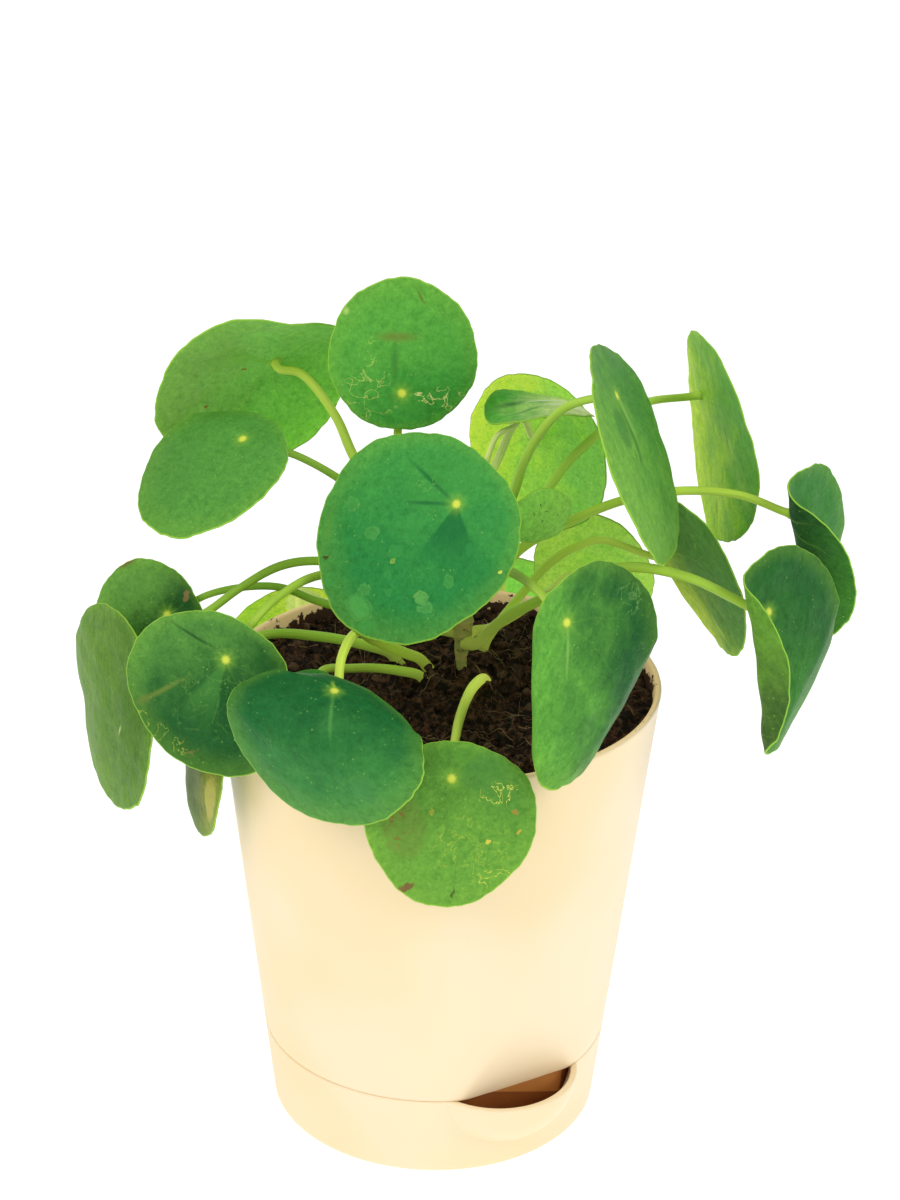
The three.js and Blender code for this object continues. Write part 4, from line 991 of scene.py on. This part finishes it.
def scatter_crumbs(settings):
    """Loose crumbs, each a small lumpy ball."""
    rng = np.random.default_rng(settings.seed)
    ball = bmesh.new()
    bmesh.ops.create_icosphere(ball, subdivisions=2, radius=1)
    corners = np.array([v.co for v in ball.verts])
    patches = [[v.index for v in f.verts] for f in ball.faces]
    ball.free()
    points, faces = [], []
    from_wall = 1.2
    limit = wall_radius(SOIL_EDGE) - WALL - from_wall
    for _ in range(settings.crumbs):
        reach, turn = limit * math.sqrt(rng.uniform()), rng.uniform(0, FULL_TURN)
        size = 0.35 + 1.25 * rng.uniform() ** 4
        reach = min(reach, limit - size)
        x, y = reach * math.cos(turn), reach * math.sin(turn)
        scale = size * rng.uniform(0.6, 1.25, 3)
        waves = np.sin(corners @ rng.uniform(-4, 4, (3, 3)) + rng.uniform(0, 6, 3))
        lumps = 1 + 0.22 * waves.sum(1)[:, None] / 2
        height = soil_height(np.array(x), np.array(y)) + soil_grit(np.array([x]), np.array([y]))[0]
        start = len(points)
        points.extend(corners * lumps * scale + (x, y, float(height) + 0.25 * size))
        faces.extend([[start + i for i in patch] for patch in patches])
    crumbs = make_object("soil_crumbs", points, faces, [soil_finish("soil_crumb", settings, 0.3)])
    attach(crumbs, "root")


def tube(points, radii, sides):
    """A round tube along points, as its points and faces. Its ends are closed by the last two faces."""
    points = np.asarray(points, float)
    ways = np.gradient(points, axis=0)
    ways /= np.linalg.norm(ways, axis=1, keepdims=True)
    side = np.cross(ways[0], (0.31, 0.17, 0.94))
    rings = []
    turns = np.linspace(0, FULL_TURN, sides, endpoint=False)
    for middle, way, radius in zip(points, ways, radii):
        side = side - way * side.dot(way)
        side /= np.linalg.norm(side)
        other = np.cross(way, side)
        rings.append(middle + radius * (np.cos(turns)[:, None] * side + np.sin(turns)[:, None] * other))
    faces = []
    for i in range(len(points) - 1):
        for k in range(sides):
            n = (k + 1) % sides
            faces.append([i * sides + k, i * sides + n, (i + 1) * sides + n, (i + 1) * sides + k])
    faces.append(list(range(sides))[::-1])
    faces.append([(len(points) - 1) * sides + k for k in range(sides)])
    return np.concatenate(rings), faces


def scatter_rootlets(settings):
    """Thin dry fibres that lie on the soil, and a few that arch off it."""
    rng = np.random.default_rng(settings.seed + 1)
    points, faces = [], []
    from_wall, steps = 2.5, 12
    limit = wall_radius(SOIL_EDGE) - WALL - from_wall
    for _ in range(settings.rootlets):
        reach, turn = limit * math.sqrt(rng.uniform()), rng.uniform(0, FULL_TURN)
        place = np.array([reach * math.cos(turn), reach * math.sin(turn)])
        heading, bend = rng.uniform(0, FULL_TURN), rng.uniform(-0.07, 0.07)
        length = rng.uniform(5, 26)
        arch = rng.uniform(0, 1) ** 4 * 4
        route = []
        for step in range(steps):
            if np.hypot(*place) > limit:
                break
            height = soil_height(*place) + soil_grit(place[:1], place[1:])[0]
            rise = 0.25 + arch * math.sin(math.pi * step / (steps - 1))
            route.append([*place, float(height) + rise])
            heading += bend + rng.uniform(-0.12, 0.12)
            place = place + length / steps * np.array([math.cos(heading), math.sin(heading)])
        if len(route) < 4:
            continue
        thick = 0.06 + 0.2 * rng.uniform() ** 3
        ring_points, ring_faces = tube(route, np.linspace(thick, 0.4 * thick, len(route)), 5)
        start = len(points)
        points.extend(ring_points)
        faces.extend([[start + i for i in face] for face in ring_faces])
    rootlets = make_object("soil_rootlets", points, faces, [root_finish(settings)])
    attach(rootlets, "root")


# ---------------------------------------------------------------- leaf form
def bend_blade(x, y, h, bend):
    """Bends what lies beyond a straight line in the blade's plane round a cylinder. x and y lie in the
    plane, and h is the height over it."""
    normal, distance, radius, angle = bend
    c, s = math.cos(normal * DEGREE), math.sin(normal * DEGREE)
    past = x * c + y * s - distance
    along = -x * s + y * c
    side = math.copysign(1, angle)
    swing = abs(angle) * DEGREE
    turn = np.clip(past / radius, 0, swing)
    rest = np.maximum(past - radius * swing, 0)
    arm = radius - h * side
    out = distance + arm * np.sin(turn) + rest * np.cos(turn)
    up = (radius - arm * np.cos(turn) + rest * np.sin(turn)) * side
    out = np.where(past > 0, out, past + distance)
    up = np.where(past > 0, up, h)
    return out * c - along * s, out * s + along * c, up


def blade_point(leaf, number, reach, turn, depth, relief=0.0):
    """Points of the blade in its own frame: x towards the tip, y across, h out of the upper face. reach is
    the share of the way from hub to edge, and relief is the share of the fine waves and puckers."""
    half_length, half_width = leaf["size"][0] / 2, leaf["size"][1] / 2
    taper = leaf.get("taper", 0)
    wave = 1 + 0.012 * np.sin(3 * turn + number) + 0.009 * np.sin(7 * turn + 2 * number)
    wave = wave + relief * (0.0035 * np.sin(17 * turn + 3 * number) + 0.003 * np.sin(29 * turn + number))
    wave = wave + relief * 0.0022 * np.sin(43 * turn + 5 * number)
    hub_x, hub_y = -leaf["offset"][0] * half_length, leaf["offset"][1] * half_width
    edge_x = half_length * np.cos(turn) * wave
    edge_y = half_width * np.sin(turn) * (1 - taper * np.cos(turn)) * wave
    x = hub_x + reach * (edge_x - hub_x)
    y = hub_y + reach * (edge_y - hub_y)
    h = -leaf["dome"] * ((x / half_length) ** 2 + (y / half_width) ** 2)
    from_hub = np.hypot(x - hub_x, y - hub_y)
    dent_width, edge_ripple, calm_middle = 0.22 * half_length, 0.35, 8
    h = h - HUB_DENT * np.exp(-((from_hub / dent_width) ** 2))
    h = h + edge_ripple * reach ** 2 * np.sin(4 * turn + number) - depth
    h = h + relief * pucker(x, y, number) * np.clip(from_hub / calm_middle, 0, 1)
    if "roll" in leaf:
        near, far = leaf["roll"]
        to_tip = np.clip((x - hub_x) / (half_length - hub_x), 0, 1)
        curve = near + (far - near) * to_tip + 1e-7
        y, h = (1 / curve + h) * np.sin(curve * y), (1 / curve + h) * np.cos(curve * y) - 1 / curve
    for bend in leaf.get("bends", ()):
        x, y, h = bend_blade(x, y, h, bend)
    return x, y, h


def pucker(x, y, number):
    """Soft swells between a blade's veins."""
    rng = np.random.default_rng(100 + number)
    swells = 0.0
    for length in (22, 17, 13, 10, 8, 6.5):
        way, phase = rng.uniform(0, FULL_TURN, 2)
        along = x * math.cos(way) + y * math.sin(way)
        swells = swells + 0.007 * length * np.sin(FULL_TURN / length * along + phase)
    return swells


def flat_place(leaf, number, reach, turn):
    """Centimetres from the hub, towards the tip and across, on the blade laid flat."""
    flat = dict(leaf, bends=(), roll=(0, 0))
    x, y, _ = blade_point(flat, number, reach, turn, 0)
    x0, y0, _ = blade_point(flat, number, np.array(0.0), np.array(0.0), 0)
    return np.stack([x - x0, y - y0], 1) / 10


def blade_axes(face):
    """The blade's own axes in the plant: towards the tip, across, and out of its upper face."""
    turn, lift, spin = (angle * DEGREE for angle in face)
    out = Vector((math.sin(turn) * math.cos(lift), -math.cos(turn) * math.cos(lift), math.sin(lift)))
    downhill = (Vector((0, 0, -1)) + out * out.z).normalized()
    tip = Matrix.Rotation(spin, 3, out) @ downhill
    return np.array(tip), np.array(out.cross(tip)), np.array(out)


def leaf_point(leaf, number, reach, turn, depth, relief=0.0):
    """Points of the blade in the plant, as an array of rows."""
    place = blade_point(leaf, number, np.asarray(reach, float), np.asarray(turn, float), depth, relief)
    hub = blade_point(leaf, number, np.array(0.0), np.array(0.0), 0)
    axes = blade_axes(leaf["face"])
    parts = [(np.asarray(a) - b)[..., None] * axis for a, b, axis in zip(place, hub, axes)]
    return np.array(leaf["hub"], float) + sum(parts)


def blade_levels(rings):
    """The rings of a blade, from its hub over the edge and back below. Each is its reach, its share of the
    thickness and its slot."""
    rows = [(1 - BLADE_EDGE) * (i / rings) ** 0.92 for i in range(1, rings + 1)]
    levels = [(reach, 0.0, 0) for reach in rows]
    for angle in (45, 90, 135):
        reach = 1 - BLADE_EDGE * (1 - math.sin(angle * DEGREE))
        levels.append((reach, (1 - math.cos(angle * DEGREE)) / 2, 0))
    return levels + [(reach, 1.0, 1) for reach in rows[::-1]]


def grow_blade(leaf, number, settings):
    """A blade in one closed skin, with its upper face and its underside in two finishes."""
    sectors = settings.sectors
    thick = settings.thickness / MM
    turns = np.linspace(0, FULL_TURN, sectors, endpoint=False)
    levels = blade_levels(settings.rings)
    edge_thinning = 0.35
    middle = np.zeros((1, 2))
    points, flat, edges = [leaf_point(leaf, number, 0.0, 0.0, 0.0)[None]], [middle], [middle]
    for reach, share, _ in levels:
        thin = thick * (1 - edge_thinning * reach ** 3)
        points.append(leaf_point(leaf, number, np.full(sectors, reach), turns, share * thin, 1.0))
        flat.append(flat_place(leaf, number, reach, turns))
        edges.append(np.stack([np.full(sectors, reach), turns / FULL_TURN], 1))
    points.append(leaf_point(leaf, number, 0.0, 0.0, thick)[None])
    flat.append(middle)
    edges.append(middle)
    points, flat, edges = (np.concatenate(rows) for rows in (points, flat, edges))

    def corner(level, k):
        return 1 + level * sectors + k % sectors

    faces, slots = [], []
    last = len(levels) - 1
    for k in range(sectors):
        n = k + 1
        faces.append((0, corner(0, k), corner(0, n)))
        slots.append(0)
        for level in range(last):
            above = level + 1
            faces.append((corner(level, k), corner(above, k), corner(above, n), corner(level, n)))
            slots.append(levels[level][2] if levels[level][2] == levels[above][2] else 0)
        faces.append((len(points) - 1, corner(last, n), corner(last, k)))
        slots.append(1)
    corners = [i for face in faces for i in face]
    name = f"leaf_{number:02d}"
    skin = {**USUAL_SKIN, **SKINS[number - 1]}
    materials = [blade_finish(f"{name}_upper_face", skin, settings, 1.7 * number),
                 blade_finish(f"{name}_underside", skin, settings, 1.7 * number + 40, True)]
    blade = make_object(f"{name}_fine_blade", points, faces, materials, slots,
                        {"blade": flat[corners], "edge": edges[corners]})
    stand_in(blade, f"{name}_blade")


# ---------------------------------------------------------------- stalks and crown
def smooth_route(points, count):
    """count points, evenly spaced, along a smooth curve through the given ones, and its length."""
    points = [Vector(p) for p in points]
    points = [2 * points[0] - points[1], *points, 2 * points[-1] - points[-2]]
    fine = []
    for p0, p1, p2, p3 in zip(points, points[1:], points[2:], points[3:]):
        gaps = [max((b - a).length ** 0.5, 1e-4) for a, b in ((p0, p1), (p1, p2), (p2, p3))]
        leave = ((p1 - p0) / gaps[0] - (p2 - p0) / (gaps[0] + gaps[1]) + (p2 - p1) / gaps[1]) * gaps[1]
        arrive = ((p2 - p1) / gaps[1] - (p3 - p1) / (gaps[1] + gaps[2]) + (p3 - p2) / gaps[2]) * gaps[1]
        for step in range(40):
            t = step / 40
            fine.append(p1 + leave * t + (3 * (p2 - p1) - 2 * leave - arrive) * t ** 2
                        + (2 * (p1 - p2) + leave + arrive) * t ** 3)
    fine = np.array([*fine, points[-2]])
    lengths = np.concatenate([[0], np.cumsum(np.linalg.norm(np.diff(fine, axis=0), axis=1))])
    even = np.linspace(0, lengths[-1], count)
    return np.stack([np.interp(even, lengths, fine[:, axis]) for axis in range(3)], 1), lengths[-1]


def crown_radius(height):
    """The crown's radius before its rings are cut."""
    return float(np.interp(height, *zip(*CROWN_SHAPE)))


def stalk_points(leaf, number):
    """The way of a stalk, from inside the crown or the soil to inside the blade over it."""
    straight_foot, sunk, clear, rise = 5, 1.2, 3, 0.6
    straight_tip, into_blade = 2.5, 0.8
    if len(leaf["root"]) == 3:
        root, first = Vector(leaf["root"]), Vector(leaf["way"][0])
        way = (first - root).normalized()
        start = [root, root + straight_foot * way]
    else:
        turn, height = leaf["root"]
        way = Vector((math.cos(turn * DEGREE), math.sin(turn * DEGREE), 0))
        foot = Vector((CROWN["x"], CROWN["y"], height))
        side = max(crown_radius(height), crown_radius(height + leaf["stalk"]))
        start = [foot + way * (side - sunk), foot + way * (side + clear) + Vector((0, 0, rise))]
    out = Vector(blade_axes(leaf["face"])[2])
    under = Vector(leaf_point(leaf, number, 0.0, 0.0, BLADE_THICKNESS + 0.5))
    return [*start, *(Vector(p) for p in leaf["way"]), under - straight_tip * out, under + into_blade * out]


def grow_stalk(leaf, number):
    """A round stalk that thins towards the blade and swells where it joins the crown and the blade."""
    steps, sides = 72, 20
    route, length = smooth_route(stalk_points(leaf, number), steps)
    share = np.linspace(0, 1, steps)
    foot_swelling, tip_swelling = np.exp(-share * length / 2.5), np.exp(-(1 - share) * length / 1.3)
    radii = leaf["stalk"] * (1.12 - 0.3 * share)
    radii *= 1 + 0.35 * foot_swelling + 0.45 * tip_swelling
    radii *= 1 + 0.02 * np.sin(share * length / 4 + number)
    points, faces = tube(route, radii, sides)
    uvs = []
    for face in faces[:-2]:
        here, there = face[0] % sides / sides, (face[0] % sides + 1) / sides
        low, high = face[0] // sides / (steps - 1), face[3] // sides / (steps - 1)
        uvs += [(here, low), (there, low), (there, high), (here, high)]
    uvs += [(k / sides, 0.0) for k in range(sides)][::-1] + [(k / sides, 1.0) for k in range(sides)]
    name = f"leaf_{number:02d}"
    skin = {**USUAL_SKIN, **SKINS[number - 1]}
    material = stalk_finish(f"{name}_stalk_skin", *skin["stalk"], 2.3 * number, skin["stalk_through"])
    stalk = make_object(f"{name}_fine_stalk", points, faces, [material], None, {"stalk": uvs})
    stand_in(stalk, f"{name}_petiole")


def grow_crown():
    """The stem that the stalks grow from: ringed, a little out of round, and domed at its top."""
    turns = np.linspace(0, FULL_TURN, 40, endpoint=False)
    dome = 2
    rings = []
    for height in np.linspace(CROWN["bottom"], CROWN["top"], 90):
        above = height - CROWN["bottom"]
        radius = 1 + 0.05 * math.sin(above * 1.25) + 0.03 * math.sin(above * 2.9 + 1)
        radius *= crown_radius(height)
        radius *= 1 + 0.06 * np.sin(3 * turns + above * 0.35) + 0.03 * np.sin(5 * turns - above * 0.6)
        if height > CROWN["top"] - dome:
            radius = radius * math.sqrt(max(1 - ((height - CROWN["top"] + dome) / (dome + 0.1)) ** 2, 0.02))
        rings.append(level_ring(turns, radius, height) + (CROWN["x"], CROWN["y"], 0))
    crown = stack_rings("crown_stem", rings, [bark_finish()], [0] * len(rings))
    stand_in(crown, "crown")


# ---------------------------------------------------------------- stage
FLOOR_HALF = 6000
CAMERA_TARGET = (2.7, 0, 165)
CAMERA_LIFT = 24.76              # degrees that the camera looks down
CAMERA_ROLL = 0.99               # degrees that it leans to the side
LIGHT_TARGET = (0, 0, 0.15)      # in metres, as the lights' places are


def area_light(name, place, size, power, colour):
    """A soft round light that shines on the plant."""
    light = bpy.data.lights.new(name, "AREA")
    light.shape = "DISK"
    light.size = size
    light.energy = power
    light.color = colour
    lamp = bpy.data.objects.new(name, light)
    bpy.context.scene.collection.objects.link(lamp)
    lamp.location = place
    way = Vector(LIGHT_TARGET) - Vector(place)
    lamp.rotation_euler = way.to_track_quat("-Z", "Y").to_euler()


def lay_floor(settings):
    """A wide pale floor that glows a little, so that it shows as white."""
    finish = Finish("pale_floor")
    finish.set(base_color=settings.floor, roughness=0.9, normal=finish.bump(finish.noise(300), 0.0001, 0.1),
               emission_color=(1, 1, 1, 1), emission_strength=0.85)
    half = FLOOR_HALF
    corners = [(-half, -half, 0), (half, -half, 0), (half, half, 0), (-half, half, 0)]
    floor = make_object("floor", corners, [(0, 1, 2, 3)], [finish.material])


def set_camera(settings):
    """The camera, a little over the plant and straight before it."""
    camera = bpy.data.cameras.new("camera")
    camera.sensor_fit = "VERTICAL"
    camera.sensor_height = 36
    camera.lens = settings.lens
    camera.clip_end = 20
    camera.dof.use_dof = False
    lift, roll = CAMERA_LIFT * DEGREE, CAMERA_ROLL * DEGREE
    ahead = Vector((0, math.cos(lift), -math.sin(lift)))
    level = Vector((1, 0, 0))
    upright = level.cross(ahead)
    right = level * math.cos(roll) + upright * math.sin(roll)
    up = upright * math.cos(roll) - level * math.sin(roll)
    turn = Matrix((right, up, -ahead)).transposed().to_4x4()
    viewer = bpy.data.objects.new("camera", camera)
    bpy.context.scene.collection.objects.link(viewer)
    viewer.matrix_world = Matrix.Translation(Vector(CAMERA_TARGET) * MM - ahead * settings.distance) @ turn
    bpy.context.scene.camera = viewer


def set_stage(settings):
    """A pale floor, an even sky, two soft lights and the camera."""
    lay_floor(settings)
    world = bpy.context.scene.world or bpy.data.worlds.new("studio")
    bpy.context.scene.world = world
    world.use_nodes = True
    background = next(n for n in world.node_tree.nodes if n.type == "BACKGROUND")
    background.inputs["Color"].default_value = (1, 1, 1, 1)
    background.inputs["Strength"].default_value = settings.sky
    area_light("key_light", (-0.75, -0.75, 1.15), 1.0, settings.key, (1.0, 0.97, 0.93))
    area_light("fill_light", (0.95, -0.6, 0.8), 0.8, settings.key * 0.6, (1.0, 1.0, 1.0))
    set_camera(settings)
    bpy.context.scene.view_settings.view_transform = "Standard"


# ---------------------------------------------------------------- operators
class MONEYPLANT_OT_stage(bpy.types.Operator):
    """Lay the floor, hang the lights and set the camera."""
    bl_idname = "moneyplant.stage"
    bl_label = "Stage"

    def execute(self, context):
        set_stage(context.scene.plant_stage)
        return {"FINISHED"}


class MONEYPLANT_OT_pot(bpy.types.Operator):
    """Mould the tapered pot with the facet over its spout."""
    bl_idname = "moneyplant.pot"
    bl_label = "Pot"

    def execute(self, context):
        mould_pot(context.scene.plant_pot)
        return {"FINISHED"}


class MONEYPLANT_OT_reservoir(bpy.types.Operator):
    """Mould the water reservoir with its filling lip."""
    bl_idname = "moneyplant.reservoir"
    bl_label = "Reservoir"

    def execute(self, context):
        mould_reservoir(context.scene.plant_pot)
        return {"FINISHED"}


class MONEYPLANT_OT_wick(bpy.types.Operator):
    """Stand the felt wick in the reservoir."""
    bl_idname = "moneyplant.wick"
    bl_label = "Wick"

    def execute(self, context):
        stand_wick()
        return {"FINISHED"}


class MONEYPLANT_OT_soil(bpy.types.Operator):
    """Fill in the potting mix with its crumbs and rootlets."""
    bl_idname = "moneyplant.soil"
    bl_label = "Soil"

    def execute(self, context):
        pile_soil(context.scene.plant_soil)
        scatter_crumbs(context.scene.plant_soil)
        scatter_rootlets(context.scene.plant_soil)
        return {"FINISHED"}


class MONEYPLANT_OT_crown(bpy.types.Operator):
    """Grow the short stem in the middle."""
    bl_idname = "moneyplant.crown"
    bl_label = "Crown"

    def execute(self, context):
        grow_crown()
        return {"FINISHED"}


class MONEYPLANT_OT_stalks(bpy.types.Operator):
    """Grow the stalk of every leaf."""
    bl_idname = "moneyplant.stalks"
    bl_label = "Stalks"

    def execute(self, context):
        for number, leaf in enumerate(LEAVES, 1):
            grow_stalk(leaf, number)
        return {"FINISHED"}


class MONEYPLANT_OT_blades(bpy.types.Operator):
    """Grow the blade of every leaf."""
    bl_idname = "moneyplant.blades"
    bl_label = "Blades"

    def execute(self, context):
        for number, leaf in enumerate(LEAVES, 1):
            grow_blade(leaf, number, context.scene.plant_leaf)
        return {"FINISHED"}


class MONEYPLANT_PT_panel(bpy.types.Panel):
    """The plant's pieces and their settings."""
    bl_idname = "MONEYPLANT_PT_panel"
    bl_label = "Money Plant"
    bl_space_type = "VIEW_3D"
    bl_region_type = "UI"
    bl_category = "Money Plant"

    def draw(self, context):
        for operator in OPERATORS:
            self.layout.operator(operator.bl_idname)
        for group in SETTINGS:
            settings = getattr(context.scene, group)
            for name in settings.__annotations__:
                self.layout.prop(settings, name)


OPERATORS = (MONEYPLANT_OT_stage, MONEYPLANT_OT_pot, MONEYPLANT_OT_reservoir, MONEYPLANT_OT_wick,
             MONEYPLANT_OT_soil, MONEYPLANT_OT_crown, MONEYPLANT_OT_stalks, MONEYPLANT_OT_blades)
SETTINGS = {"plant_pot": PotSettings, "plant_soil": SoilSettings, "plant_leaf": LeafSettings,
            "plant_stage": StageSettings}


def register():
    for group in (*SETTINGS.values(), *OPERATORS, MONEYPLANT_PT_panel):
        bpy.utils.register_class(group)
    for name, group in SETTINGS.items():
        setattr(bpy.types.Scene, name, bpy.props.PointerProperty(type=group))


def unregister():
    for name in SETTINGS:
        delattr(bpy.types.Scene, name)
    for group in (MONEYPLANT_PT_panel, *reversed(OPERATORS), *reversed(SETTINGS.values())):
        bpy.utils.unregister_class(group)


def main():
    register()
    bpy.ops.moneyplant.stage()
    bpy.ops.moneyplant.pot()
    bpy.ops.moneyplant.reservoir()
    bpy.ops.moneyplant.wick()
    bpy.ops.moneyplant.soil()
    bpy.ops.moneyplant.crown()
    bpy.ops.moneyplant.stalks()
    bpy.ops.moneyplant.blades()


if __name__ == "__main__":
    main()
